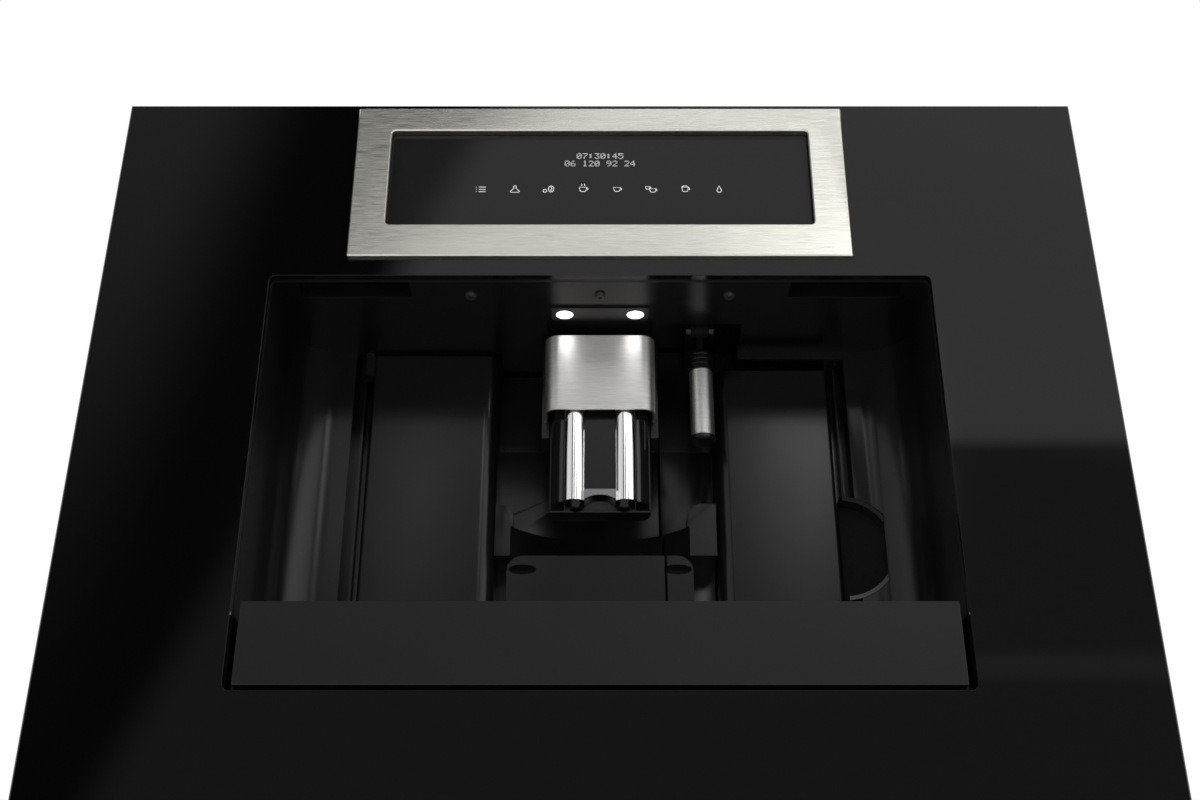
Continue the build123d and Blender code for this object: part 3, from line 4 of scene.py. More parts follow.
import bmesh
import bpy
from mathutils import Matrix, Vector


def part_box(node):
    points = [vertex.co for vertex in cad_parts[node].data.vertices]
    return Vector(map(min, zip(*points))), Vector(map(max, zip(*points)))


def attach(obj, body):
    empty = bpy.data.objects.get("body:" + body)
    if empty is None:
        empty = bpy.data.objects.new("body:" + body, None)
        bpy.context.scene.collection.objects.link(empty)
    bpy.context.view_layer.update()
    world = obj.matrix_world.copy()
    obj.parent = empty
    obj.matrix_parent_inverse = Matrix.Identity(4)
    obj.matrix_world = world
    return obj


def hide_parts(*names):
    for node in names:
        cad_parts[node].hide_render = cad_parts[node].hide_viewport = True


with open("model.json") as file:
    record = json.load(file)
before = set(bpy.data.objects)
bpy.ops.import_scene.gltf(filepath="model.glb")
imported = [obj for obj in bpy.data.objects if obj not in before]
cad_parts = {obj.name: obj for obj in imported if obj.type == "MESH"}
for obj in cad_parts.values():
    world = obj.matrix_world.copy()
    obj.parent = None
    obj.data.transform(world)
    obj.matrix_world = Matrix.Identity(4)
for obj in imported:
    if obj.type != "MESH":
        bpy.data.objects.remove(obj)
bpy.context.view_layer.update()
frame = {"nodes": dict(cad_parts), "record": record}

nodes = frame["nodes"]
behaviour = frame["record"]["behaviour"]
mm = 0.001
hands = (("left", -1), ("right", 1))


def say(text):
    print("scene:", text)


def hexToLinear(text):
    channels = [int(text[i:i + 2], 16) / 255 for i in (1, 3, 5)]
    linear = [c / 12.92 if c <= 0.04045 else ((c + 0.055) / 1.055) ** 2.4 for c in channels]
    return (*linear, 1.0)


def addNode(tree, kind, values=None, links=None, **settings):
    node = tree.nodes.new(kind)
    for name, value in settings.items():
        setattr(node, name, value)
    for name, value in (values or {}).items():
        node.inputs[name].default_value = value
    for name, source in (links or {}).items():
        tree.links.new(source, node.inputs[name])
    return node


def linkObject(name, data):
    thing = bpy.data.objects.new(name, data)
    bpy.context.scene.collection.objects.link(thing)
    return thing


def startFinish(name, colour, roughness, metallic=0.0, **sockets):
    material = bpy.data.materials.new(name)
    material.use_nodes = True
    tree = material.node_tree
    shader = tree.nodes["Principled BSDF"]
    shader.inputs["Base Color"].default_value = hexToLinear(colour)
    shader.inputs["Roughness"].default_value = roughness
    shader.inputs["Metallic"].default_value = metallic
    for socket, value in sockets.items():
        shader.inputs[socket.replace("_", " ")].default_value = value
    return material, tree, shader


def grainTexture(tree, sizes, detail=4.0, roughness=0.6):
    # noise on object coordinates; sizes are the length of one grain along each axis, in mm
    repeats = tuple(1 / (size * mm) for size in sizes)
    coords = addNode(tree, "ShaderNodeTexCoord")
    mapping = addNode(
        tree, "ShaderNodeMapping", {"Scale": repeats}, {"Vector": coords.outputs["Object"]},
    )
    return addNode(
        tree, "ShaderNodeTexNoise", {"Scale": 1.0, "Detail": detail, "Roughness": roughness},
        {"Vector": mapping.outputs["Vector"]},
    ).outputs["Fac"]


def letVary(tree, source, low, high, target, tint=None):
    # a pattern moves the target input between two values; with a tint it gives the target that
    # colour, darker and lighter between them
    vary = addNode(
        tree, "ShaderNodeMapRange",
        {"From Min": 0.25, "From Max": 0.75, "To Min": low, "To Max": high}, {"Value": source},
    ).outputs["Result"]
    if tint:
        vary = addNode(
            tree, "ShaderNodeHueSaturation", {"Color": hexToLinear(tint)}, {"Value": vary},
        ).outputs["Color"]
    tree.links.new(vary, target)


def raiseGrain(tree, shader, grain, strength, depth):
    # the grain stands up to depth, in mm
    bump = addNode(
        tree, "ShaderNodeBump", {"Strength": strength, "Distance": depth * mm}, {"Height": grain},
    )
    tree.links.new(bump.outputs["Normal"], shader.inputs["Normal"])


# Finishes, each named for what the real surface is.

def floatGlassBlack():
    # back-painted float glass, polished: deep black, a clean reflection and a trace of wipe marks
    material, tree, shader = startFinish(
        "floatGlassBlack", "#050505", 0.03, IOR=1.52, Specular_IOR_Level=0.39,
    )
    letVary(tree, grainTexture(tree, (160, 160, 45), 3.0), 0.02, 0.05, shader.inputs["Roughness"])
    return material


def displayGlassSmoked():
    # smoked float glass: greyer than the front, with a coating that dulls its reflection
    material, tree, shader = startFinish(
        "displayGlassSmoked", "#1b1b1c", 0.03, IOR=1.52, Specular_IOR_Level=0.23,
    )
    letVary(tree, grainTexture(tree, (110, 110, 33), 3.0), 0.03, 0.06, shader.inputs["Roughness"])
    return material


def brushedStainless(name, colour, hairLength, hairWidth, roughness):
    # stainless sheet brushed along its length: fine hairlines in tone, gloss and height, which
    # spread a reflection across the brushing and keep it sharper along it
    material, tree, shader = startFinish(
        name, colour, roughness, 1.0, Anisotropic=0.7, Anisotropic_Rotation=0.25,
    )
    hairs = grainTexture(tree, (hairLength, hairLength, hairWidth), 3.0, 0.65)
    bands = grainTexture(tree, (hairLength * 5, hairLength * 5, hairWidth * 9), 2.0)
    shade = addNode(tree, "ShaderNodeHueSaturation")
    letVary(tree, hairs, 0.8, 1.14, shade.inputs["Color"], colour)
    letVary(tree, bands, 0.96, 1.04, shade.inputs["Value"])
    tree.links.new(shade.outputs["Color"], shader.inputs["Base Color"])
    letVary(tree, hairs, roughness - 0.05, roughness + 0.07, shader.inputs["Roughness"])
    tangent = addNode(tree, "ShaderNodeTangent", direction_type="RADIAL", axis="Z")
    tree.links.new(tangent.outputs["Tangent"], shader.inputs["Tangent"])
    raiseGrain(tree, shader, hairs, 0.12, 0.03)
    return material


def mouldedAbs(name, colour, roughness, waviness=0.05, **sockets):
    # black ABS moulded in a finely stoned tool: satin, with the faint orange peel of the moulding
    material, tree, shader = startFinish(name, colour, roughness, IOR=1.5, **sockets)
    peel = grainTexture(tree, (7, 7, 7), 2.0)
    haze = grainTexture(tree, (70, 70, 110), 4.0)
    letVary(tree, haze, roughness * 0.88, roughness * 1.15, shader.inputs["Roughness"])
    raiseGrain(tree, shader, peel, waviness, 0.2)
    return material


def texturedPlastic(name, colour, roughness=0.55, pitch=0.7, specks=0.12):
    # moulded plastic or paint with a spark-eroded grain, pitch in mm
    material, tree, shader = startFinish(name, colour, roughness, IOR=1.48)
    grain = grainTexture(tree, (pitch, pitch, pitch), 2.0)
    letVary(tree, grain, 1 - specks, 1 + specks, shader.inputs["Base Color"], colour)
    letVary(tree, grain, roughness - 0.08, roughness + 0.08, shader.inputs["Roughness"])
    raiseGrain(tree, shader, grain, 0.35, 0.06)
    return material


def chromeWithPaintedFlankShade(columnEdge):
    # bright chrome over ABS: a mirror, a little softened by the plating; past columnEdge, in mm
    # from the middle, it turns to a black non-metal, painted shade for the dark niche the flanks
    # reflect, so the flanks stay black
    material, tree, shader = startFinish("chromeWithPaintedFlankShade", "#e6e7e9", 0.06, 1.0)
    letVary(tree, grainTexture(tree, (25, 25, 40), 3.0), 0.06, 0.11, shader.inputs["Roughness"])
    coords = addNode(tree, "ShaderNodeTexCoord")
    place = addNode(tree, "ShaderNodeSeparateXYZ", links={"Vector": coords.outputs["Object"]})
    side = addNode(tree, "ShaderNodeMath", links={0: place.outputs["X"]}, operation="ABSOLUTE")
    # beside the columns the base colour drops to near black and the metal goes: painted shade for
    # the dark reflection on the flanks
    for socket, plated, paintedDark in (("Base Color", 0.84, 0.006), ("Metallic", 1.0, 0.0)):
        shadedFlank = addNode(
            tree, "ShaderNodeMapRange",
            {"From Min": (columnEdge - 0.2) * mm, "From Max": columnEdge * mm,
             "To Min": plated, "To Max": paintedDark},
            {"Value": side.outputs[0]},
        )
        tree.links.new(shadedFlank.outputs["Result"], shader.inputs[socket])
    return material


def galvanisedSheet():
    # zinc-coated sheet: pale spangle about 8 mm across, each crystal a slightly different grey
    zincGrey = "#a9acae"
    material, tree, shader = startFinish("galvanisedSheet", zincGrey, 0.38, 1.0)
    coords = addNode(tree, "ShaderNodeTexCoord")
    crystals = addNode(
        tree, "ShaderNodeTexVoronoi", {"Scale": 1 / (8 * mm)}, {"Vector": coords.outputs["Object"]},
    )
    grey = addNode(tree, "ShaderNodeSeparateColor", links={"Color": crystals.outputs["Color"]})
    letVary(tree, grey.outputs["Red"], 0.9, 1.05, shader.inputs["Base Color"], zincGrey)
    letVary(tree, grey.outputs["Green"], 0.32, 0.45, shader.inputs["Roughness"])
    return material


def zincPlate():
    # bright zinc on the runners: faintly blue, with rolling marks along the slide
    material, tree, shader = startFinish("zincPlate", "#b9bdc2", 0.3, 1.0)
    marks = grainTexture(tree, (1.1, 120, 1.1), 3.0)
    letVary(tree, marks, 0.22, 0.4, shader.inputs["Roughness"])
    raiseGrain(tree, shader, marks, 0.15, 0.04)
    return material


def mattBlackPaint():
    # powder coat on the carrier frame: fine orange peel, about 1.5 mm across
    material, tree, shader = startFinish("mattBlackPaint", "#101012", 0.5, IOR=1.5)
    peel = grainTexture(tree, (1.5, 1.5, 1.5), 2.0)
    letVary(tree, peel, 0.42, 0.58, shader.inputs["Roughness"])
    raiseGrain(tree, shader, peel, 0.3, 0.1)
    return material


def solderMask():
    # green circuit board: glossy mask over copper tracks, 5.6 mm apart one way and 2.8 the other,
    # which makes 90 repeats of the pattern to a metre
    maskGreen = "#12452a"
    material, tree, shader = startFinish("solderMask", maskGreen, 0.32, IOR=1.5)
    coords = addNode(tree, "ShaderNodeTexCoord")
    tracks = addNode(
        tree, "ShaderNodeTexBrick",
        {"Scale": 90.0, "Mortar Size": 0.03, "Color1": hexToLinear(maskGreen),
         "Color2": hexToLinear("#15502f"), "Mortar": hexToLinear("#2a7a45")},
        {"Vector": coords.outputs["Object"]},
    )
    tree.links.new(tracks.outputs["Color"], shader.inputs["Base Color"])
    return material


def castAlloy():
    # die-cast aluminium of the boiler: dull, with a sandy skin
    material, tree, shader = startFinish("castAlloy", "#a3a4a6", 0.45, 1.0)
    skin = grainTexture(tree, (2, 2, 2), 3.0)
    letVary(tree, skin, 0.35, 0.55, shader.inputs["Roughness"])
    raiseGrain(tree, shader, skin, 0.4, 0.1)
    return material


def mouldedRubber():
    # black nitrile rubber: dusty and dull
    material, tree, shader = startFinish(
        "mouldedRubber", "#0c0c0d", 0.75, IOR=1.45, Specular_IOR_Level=0.25,
    )
    dust = grainTexture(tree, (2.5, 2.5, 2.5), 3.0)
    letVary(tree, dust, 0.65, 0.85, shader.inputs["Roughness"])
    raiseGrain(tree, shader, dust, 0.2, 0.1)
    return material


def smokyPolycarbonate():
    # clear smoky plastic of the tank and the bean hopper
    material, tree, shader = startFinish(
        "smokyPolycarbonate", "#8d979f", 0.08, IOR=1.58, Transmission_Weight=0.85,
    )
    raiseGrain(tree, shader, grainTexture(tree, (8, 8, 8), 2.0), 0.08, 0.2)
    return material


def litPlastic(name, colour, strength):
    # print or lens lit from behind: an even glow with the faint cloudiness of the diffuser
    material, tree, shader = startFinish(name, colour, 0.4)
    shader.inputs["Emission Color"].default_value = hexToLinear(colour)
    cloud = grainTexture(tree, (3, 3, 3), 1.0)
    letVary(tree, cloud, strength * 0.93, strength * 1.07, shader.inputs["Emission Strength"])
    return material


finishes = {
    "black_glass": floatGlassBlack(),
    "display_glass": displayGlassSmoked(),
    "trim_steel": brushedStainless("brushedStainlessTrim", "#e3e0d8", 13, 0.5, 0.19),
    "cap_steel": brushedStainless("brushedStainlessCap", "#f1efec", 11, 0.4, 0.5),
    "niche_plastic": mouldedAbs("satinAbsNiche", "#0f0f10", 0.22, Specular_IOR_Level=0.36),
    "spout_black": mouldedAbs("satinAbsSpout", "#101012", 0.22, Specular_IOR_Level=0.35),
    "tray_lacquer": mouldedAbs("satinLacquerTray", "#111112", 0.34, 0.08, Specular_IOR_Level=0.33),
    "chrome": chromeWithPaintedFlankShade(21.6),
    "sheet_steel": galvanisedSheet(),
    "runner_steel": zincPlate(),
    "carrier_steel": mattBlackPaint(),
    "circuit_board": solderMask(),
    "chassis_plastic": texturedPlastic("texturedPolypropylene", "#1c1c1e"),
    "brew_plastic": texturedPlastic("glassFilledNylon", "#2c2c2f", 0.6, 0.9),
    "motor_metal": texturedPlastic("enamelledSteel", "#54575c", 0.4, 1.4),
    "clear_plastic": smokyPolycarbonate(),
    "boiler_alloy": castAlloy(),
    "rubber": mouldedRubber(),
    "tray_plastic": texturedPlastic("texturedAbsTray", "#161618", 0.5, 0.8),
    "float_plastic": texturedPlastic("redAcetal", "#8e1a14", 0.45, 1.0),
    "lid_plastic": texturedPlastic("texturedAbsLid", "#19191b", 0.5, 0.8),
    "screw_steel": texturedPlastic("blackOxideSteel", "#2a2a2c", 0.35, 1.2),
    "lens_plastic": litPlastic("litLens", "#ffffff", 10.0),
}
say(f"{len(finishes)} finishes")

# Every CAD node gets its finish.
slotOf = {entry["node"]: entry["material_slot"] for entry in frame["record"]["subparts"]}
bodyOf = {node: body for body, members in behaviour["bodies"].items() for node in members}
for node, slot in slotOf.items():
    nodes[node].data.materials.clear()
    nodes[node].data.materials.append(finishes[slot])
    for face in nodes[node].data.polygons:
        face.material_index = 0

# Softened edges, widths in mm.
edgeRule = {
    "corner": 28.0,          # degrees: sharper edges than this are rounded
    "dissolve": 0.5,         # degrees: flatter seams than this go
    "flat": 0.002,           # radians: below this two faces count as one flat one
    "segments": 3,
    "margin": 2.0,
}
edgeWidths = {
    "front_glass": 0.25, "display_glass": 0.3, "niche_liner": 0.4, "door_panel": 0.6,
    "nozzle_panel": 0.4, "nozzle_pipe": 0.15, "tank_front": 0.6, "tray_front": 0.8,
    "spout_cap": 0.4, "spout_guide": 0.5, "spout_shell": 0.4, "spout_body": 0.5, "finger_cup": 0.4,
    "bean_lid": 0.5, "preground_flap": 0.4, "grind_knob": 0.3, "mains_inlet": 0.5,
    "power_switch": 0.3, "hinge_pins": 0.3,
}
trimEdges = {"window": 0.6, "outerShare": 0.25}
# the finger cup takes the near-black rubber finish as painted shade for its recess
darkerSlots = {"finger_cup": "rubber", "nozzle_pipe": "rubber", "hinge_pins": "screw_steel"}


def softenEdges(node, width, slot, share=1.0, within=None):
    # a merged copy of the CAD solid with its edges rounded, shown in its place; edges that
    # aren't in front of the piece named by within get a share of the width
    corner, flat = math.radians(edgeRule["corner"]), edgeRule["flat"]
    margin = edgeRule["margin"] * mm
    mesh = nodes[node].data.copy()
    mesh.name = node + "Dressed"
    mesh.materials[0] = finishes[slot]
    shape = bmesh.new()
    shape.from_mesh(mesh)
    bmesh.ops.remove_doubles(shape, verts=shape.verts, dist=1e-6)
    bmesh.ops.dissolve_limit(
        shape, angle_limit=math.radians(edgeRule["dissolve"]), verts=shape.verts, edges=shape.edges,
    )
    weights = shape.edges.layers.float.new("bevel_weight_edge")
    low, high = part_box(within or node)
    for edge in shape.edges:
        inside = all(
            low[i] - margin < vertex.co[i] < high[i] + margin
            for vertex in edge.verts for i in (0, 2)
        )
        if edge.calc_face_angle(0.0) > corner:
            edge[weights] = 1.0 if inside else share
    # a flat face with only corners round it stays flat, so its reflection stays straight
    for face in shape.faces:
        face.smooth = any(flat < edge.calc_face_angle(0.0) < corner for edge in face.edges)
    shape.to_mesh(mesh)
    shape.free()
    mesh.set_sharp_from_angle(angle=corner)
    dressed = linkObject(node + "Dressed", mesh)
    bevel = dressed.modifiers.new("softEdge", "BEVEL")
    bevel.width = width * mm
    bevel.segments = edgeRule["segments"]
    bevel.limit_method = "WEIGHT"
    bevel.harden_normals = True
    bevel.use_clamp_overlap = True
    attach(dressed, bodyOf[node])
    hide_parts(node)


for node, width in edgeWidths.items():
    softenEdges(node, width, darkerSlots.get(node, slotOf[node]))
softenEdges(
    "display_trim", trimEdges["window"], "trim_steel", trimEdges["outerShare"], "display_glass",
)
say(f"{len(edgeWidths) + 1} pieces with softened edges")


def addPiece(name, mesh, body):
    piece = linkObject(name, mesh)
    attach(piece, body)
    return piece


def addShaped(name, mesh, body, slot, finish=None):
    mesh.materials.clear()
    mesh.materials.append(finish or finishes[slot])
    return addPiece(name, mesh, body)


def plainMesh(holder):
    # the finished mesh of a helper object, which is then removed
    shown = holder.evaluated_get(bpy.context.evaluated_depsgraph_get())
    mesh = bpy.data.meshes.new_from_object(shown)
    bpy.data.objects.remove(holder)
    return mesh


def closedMesh(name, shape, sharp=None):
    # a plain mesh from the shape with its faces outwards, smooth up to the sharp angle
    bmesh.ops.recalc_face_normals(shape, faces=shape.faces)
    mesh = bpy.data.meshes.new(name)
    shape.to_mesh(mesh)
    shape.free()
    if sharp:
        for face in mesh.polygons:
            face.use_smooth = True
        mesh.set_sharp_from_angle(angle=math.radians(sharp))
    return mesh


def grownPiece(name, centres, treeAndInputs, body):
    # runs a Geometry Nodes tree on a cloud of points and keeps the plain mesh
    tree, inputs = treeAndInputs
    seed = bpy.data.meshes.new(name + "Points")
    seed.from_pydata(centres, [], [])
    holder = linkObject(name + "Points", seed)
    grow = holder.modifiers.new("grow", "NODES")
    grow.node_group = tree
    for identifier, value in inputs.items():
        grow[identifier] = value
    return addPiece(name, plainMesh(holder), body)


def startTree(name, inputs):
    # a Geometry Nodes tree with named inputs, its first values, and the points it starts from
    tree = bpy.data.node_groups.new(name, "GeometryNodeTree")
    tree.interface.new_socket("Geometry", in_out="INPUT", socket_type="NodeSocketGeometry")
    values = {}
    for label, value in inputs.items():
        socket = tree.interface.new_socket(label, in_out="INPUT", socket_type="NodeSocketFloat")
        values[socket.identifier] = value
    tree.interface.new_socket("Geometry", in_out="OUTPUT", socket_type="NodeSocketGeometry")
    start = addNode(tree, "NodeGroupInput")
    points = addNode(
        tree, "GeometryNodeMeshToPoints", links={"Mesh": start.outputs["Geometry"]},
    )
    return tree, start.outputs, points.outputs["Points"], values


def endTree(tree, points, shape, finish, turn=(0, 0, 0)):
    # puts the shape on every point, makes it real and gives it its finish
    copies = addNode(
        tree, "GeometryNodeInstanceOnPoints", {"Rotation": turn},
        {"Points": points, "Instance": shape},
    )
    real = addNode(
        tree, "GeometryNodeRealizeInstances", links={"Geometry": copies.outputs["Instances"]},
    )
    painted = addNode(
        tree, "GeometryNodeSetMaterial", {"Material": finish},
        {"Geometry": real.outputs["Geometry"]},
    )
    addNode(tree, "NodeGroupOutput", links={"Geometry": painted.outputs["Geometry"]})


# Display: plain numbers and generic pictograms, lit from behind.
display = {
    "lift": 0.05,            # mm in front of the display glass
    "flatten": 0.1,          # depth of a stroke or a dot against its width
    "strokeRadius": 0.14,
    "rowDrop": 63.5,         # middle of the pictograms, mm below the front's top edge
    "iconPitch": 21.0,
    "iconScale": 1.35,
    "firstRow": ("07:30:45", 36.1),
    "secondRow": ("06 120 92 24", 41.8),
    "dotPitch": 0.62,
    "dotSize": 0.32,
    "glow": 1.0,
}

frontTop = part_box("front_glass")[1][2]
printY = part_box("display_glass")[0][1] - display["lift"] * mm
printFinish = litPlastic("displayPrint", "#e3e6ea", display["glow"])


def strokesToPiece(name, strokes, radius, finish):
    # strokes are lists of (x, z) points in mm from the front's top middle, each with whether
    # it is closed; the tube is flattened against the glass, so it reads as print
    curve = bpy.data.curves.new(name, "CURVE")
    curve.dimensions = "3D"
    curve.bevel_depth = radius * mm
    curve.bevel_resolution = 1
    for points, closed in strokes:
        spline = curve.splines.new("POLY")
        spline.points.add(len(points) - 1)
        for point, (x, z) in zip(spline.points, points):
            point.co = (x * mm, printY, frontTop + z * mm, 1)
        spline.use_cyclic_u = closed
    mesh = plainMesh(linkObject(name, curve))
    for vertex in mesh.vertices:
        vertex.co.y = printY + (vertex.co.y - printY) * display["flatten"]
    return addShaped(name, mesh, "machine", "display_glass", finish)


def arc(centre, radius, start, end, steps=8, flatten=1.0):
    angles = [math.radians(start + (end - start) * i / steps) for i in range(steps + 1)]
    return [
        (centre[0] + radius * math.cos(a), centre[1] + radius * flatten * math.sin(a))
        for a in angles
    ]


def cupStrokes(width, height, steam=()):
    # a cup seen from the side, with its handle and steam
    half = width / 2
    bowl = [(-half, height / 2), (-half * 0.8, -height * 0.3), (-half * 0.5, -height / 2)]
    bowl += [(half * 0.5, -height / 2), (half * 0.8, -height * 0.3), (half, height / 2)]
    strokes = [(bowl, True), (arc((half, 0.1 * height), height * 0.25, 80, -80), False)]
    for x in steam:
        wisp = [(x, height * 0.75), (x + 0.25, height * 1.0), (x, height * 1.25)]
        strokes.append((wisp, False))
    return strokes


def shiftStrokes(strokes, right, up, scale=1.0):
    return [
        ([(x * scale + right, z * scale + up) for x, z in points], closed)
        for points, closed in strokes
    ]


def iconStrokes():
    lines = [([(-0.9, z), (2.2, z)], False) for z in (1.3, 0, -1.3)]
    dots = [([(-2.2, z), (-1.9, z)], False) for z in (1.3, 0, -1.3)]
    hook = [
        (arc((0, 1.3), 0.7, -60, 240), False),
        ([(-0.4, 0.6), (-2.2, -1.2), (-1.6, -1.6), (1.6, -1.6), (2.2, -1.2), (0.4, 0.6)], False),
    ]
    beans = [
        (arc((1.0, 0.2), 1.25, 0, 360, 14, 1.35), True),
        ([(1.0, 1.6), (1.3, 0.4), (0.8, -0.3), (1.0, -1.2)], False),
        (arc((-1.8, -0.8), 0.85, 0, 360, 10), True),
    ]
    steaming, cup = cupStrokes(3.4, 2.4, (-0.7, 0.6)), cupStrokes(3.2, 2.2)
    double = shiftStrokes(cupStrokes(2.0, 1.5), -1.5, 0.8)
    double += shiftStrokes(cupStrokes(2.9, 1.9), 0.8, -0.6)
    mug = cupStrokes(3.0, 2.4) + [(arc((0, 1.2), 1.5, 0, 180, 8, 0.5), False)]
    drop = [([(0, 2.0)] + arc((0, -0.6), 1.05, 150, 390, 10), True)]
    return [lines + dots, hook, beans, steaming, cup, double, mug, drop]


for index, strokes in enumerate(iconStrokes()):
    shiftX = (index - 3.5) * display["iconPitch"]
    placed = shiftStrokes(strokes, shiftX, -display["rowDrop"], display["iconScale"])
    strokesToPiece(f"displayIcon{index + 1}", placed, display["strokeRadius"], printFinish)

# a digit is seven rows of five dots, each row as bits from the left
digitRows = {
    "0": (14, 17, 19, 21, 25, 17, 14), "1": (4, 12, 4, 4, 4, 4, 14),
    "2": (14, 17, 1, 2, 4, 8, 31), "3": (31, 2, 4, 2, 1, 17, 14),
    "4": (2, 6, 10, 18, 31, 2, 2), "5": (31, 16, 30, 1, 1, 17, 14),
    "6": (6, 8, 16, 30, 17, 17, 14), "7": (31, 1, 2, 4, 8, 8, 8),
    "8": (14, 17, 17, 14, 17, 17, 14), "9": (14, 17, 17, 15, 1, 2, 12),
    ":": (0, 12, 12, 0, 12, 12, 0), " ": (0, 0, 0, 0, 0, 0, 0),
}


def dotCentres(text, drop, pitch):
    centres = []
    width = (len(text) * 6 - 1) * pitch
    for place, letter in enumerate(text):
        for row, bits in enumerate(digitRows[letter]):
            for column in range(5):
                if bits & (16 >> column):
                    x = (place * 6 + column + 0.5) * pitch - width / 2
                    centres.append((x * mm, printY, frontTop - (drop + (row + 0.5) * pitch) * mm))
    return centres


def dotTree(finish, size):
    # one flat square for each lit dot
    tree, start, points, values = startTree("litDots", {"Dot size": size * mm})
    depth = addNode(
        tree, "ShaderNodeMath", {1: display["flatten"]}, {0: start["Dot size"]},
        operation="MULTIPLY",
    )
    box = addNode(
        tree, "ShaderNodeCombineXYZ",
        links={"X": start["Dot size"], "Y": depth.outputs[0], "Z": start["Dot size"]},
    )
    dot = addNode(tree, "GeometryNodeMeshCube", links={"Size": box.outputs["Vector"]})
    endTree(tree, points, dot.outputs["Mesh"], finish)
    return tree, values


numberDots = []
for row in ("firstRow", "secondRow"):
    numberDots += dotCentres(*display[row], display["dotPitch"])
grownPiece(
    "displayNumbers", numberDots, dotTree(printFinish, display["dotSize"]), "machine",
)
say("display")

# Screws with a hexagon socket: three in the niche's ceiling and four down each side of the cover.
screws = {
    "headRadius": 3.4, "headHeight": 2.0, "socketRadius": 1.6, "shankRadius": 1.5,
    "shankLength": 8.5, "coverRows": 4,
    "crown": 0.82,           # the head's top against its foot
}


def screwTree(name, finish, turn):
    tree, start, points, values = startTree(name, {
        "Head radius": screws["headRadius"] * mm, "Head height": screws["headHeight"] * mm,
        "Socket radius": screws["socketRadius"] * mm, "Shank radius": screws["shankRadius"] * mm,
        "Shank length": screws["shankLength"] * mm,
    })
    rim = addNode(
        tree, "ShaderNodeMath", {1: screws["crown"]}, {0: start["Head radius"]},
        operation="MULTIPLY",
    )
    head = addNode(
        tree, "GeometryNodeMeshCone", {"Vertices": 32, "Side Segments": 1},
        {"Radius Top": rim.outputs[0], "Radius Bottom": start["Head radius"],
         "Depth": start["Head height"]},
    )
    # the socket is cut from the top of the head, and the shank hangs below its foot
    moved = []
    for sides, radius, length, share in (
        (6, "Socket radius", "Head height", 1.0), (16, "Shank radius", "Shank length", -0.5),
    ):
        rod = addNode(
            tree, "GeometryNodeMeshCylinder", {"Vertices": sides},
            {"Radius": start[radius], "Depth": start[length]},
        )
        lift = addNode(
            tree, "ShaderNodeMath", {1: share}, {0: start[length]}, operation="MULTIPLY",
        )
        place = addNode(tree, "ShaderNodeCombineXYZ", links={"Z": lift.outputs[0]})
        moved.append(addNode(
            tree, "GeometryNodeTransform",
            links={"Geometry": rod.outputs["Mesh"], "Translation": place.outputs["Vector"]},
        ).outputs["Geometry"])
    cut = addNode(
        tree, "GeometryNodeMeshBoolean", links={0: head.outputs["Mesh"], 1: moved[0]},
        operation="DIFFERENCE",
    )
    both = addNode(tree, "GeometryNodeJoinGeometry")
    for part in (cut.outputs["Mesh"], moved[1]):
        tree.links.new(part, both.inputs[0])
    endTree(tree, points, both.outputs["Geometry"], finish, turn)
    return tree, values


linerLow, linerHigh = (Vector(corner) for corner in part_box("liner_screws"))
linerMiddle = (linerLow + linerHigh) / 2
reachX = linerHigh.x - screws["headRadius"] * mm
linerFoot = linerLow.z + screws["headHeight"] * mm
linerScrews = grownPiece(
    "linerScrews", [(x, linerMiddle.y, linerFoot) for x in (-reachX, 0, reachX)],
    screwTree("linerScrew", finishes["screw_steel"], (math.pi, 0, 0)), "machine",
)
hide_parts("liner_screws")

coverLow, coverHigh = (Vector(corner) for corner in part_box("cover_screws"))
coverX = coverHigh.x - screws["headRadius"] * mm
coverStart = coverLow.y + screws["headRadius"] * mm
coverReach = coverHigh.y - coverLow.y - 2 * screws["headRadius"] * mm
coverStep = coverReach / (screws["coverRows"] - 1)
coverFoot = coverHigh.z - screws["headHeight"] * mm
coverPlaces = [
    (x, coverStart + row * coverStep, coverFoot)
    for x in (-coverX, coverX) for row in range(screws["coverRows"])
]
coverScrews = grownPiece(
    "coverScrews", coverPlaces, screwTree("coverScrew", finishes["screw_steel"], (0, 0, 0)),
    "machine",
)
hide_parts("cover_screws")

# Rivets along the case's back corners.
rivets = {"radius": 2.4, "height": 0.9, "inset": 6.0, "step": 58.0, "count": 7, "start": 62.0}


def rivetTree(finish, turn):
    # a domed head: a ball flattened against the sheet
    tree, start, points, values = startTree(
        "blindRivet", {"Radius": rivets["radius"] * mm, "Height": rivets["height"] * mm},
    )
    ball = addNode(
        tree, "GeometryNodeMeshUVSphere", {"Segments": 20, "Rings": 10},
        {"Radius": start["Radius"]},
    )
    flat = addNode(
        tree, "ShaderNodeMath", links={0: start["Height"], 1: start["Radius"]}, operation="DIVIDE",
    )
    size = addNode(tree, "ShaderNodeCombineXYZ", {"X": 1.0, "Y": 1.0}, {"Z": flat.outputs[0]})
    dome = addNode(
        tree, "GeometryNodeTransform",
        links={"Geometry": ball.outputs["Mesh"], "Scale": size.outputs["Vector"]},
    )
    smooth = addNode(
        tree, "GeometryNodeSetShadeSmooth", links={"Geometry": dome.outputs["Geometry"]},
    )
    endTree(tree, points, smooth.outputs["Geometry"], finish, turn)
    return tree, values


for side, hand in hands:
    panelLow, panelHigh = (Vector(corner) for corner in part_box(f"side_panel_{side}"))
    rivetX = panelLow.x if hand < 0 else panelHigh.x
    rivetY = panelHigh.y - rivets["inset"] * mm
    places = [
        (rivetX, rivetY, panelLow.z + (rivets["start"] + i * rivets["step"]) * mm)
        for i in range(rivets["count"])
    ]
    turned = rivetTree(finishes["runner_steel"], (0, hand * math.pi / 2, 0))
    grownPiece(f"caseRivets_{side}", places, turned, "machine")
say("screws and rivets")

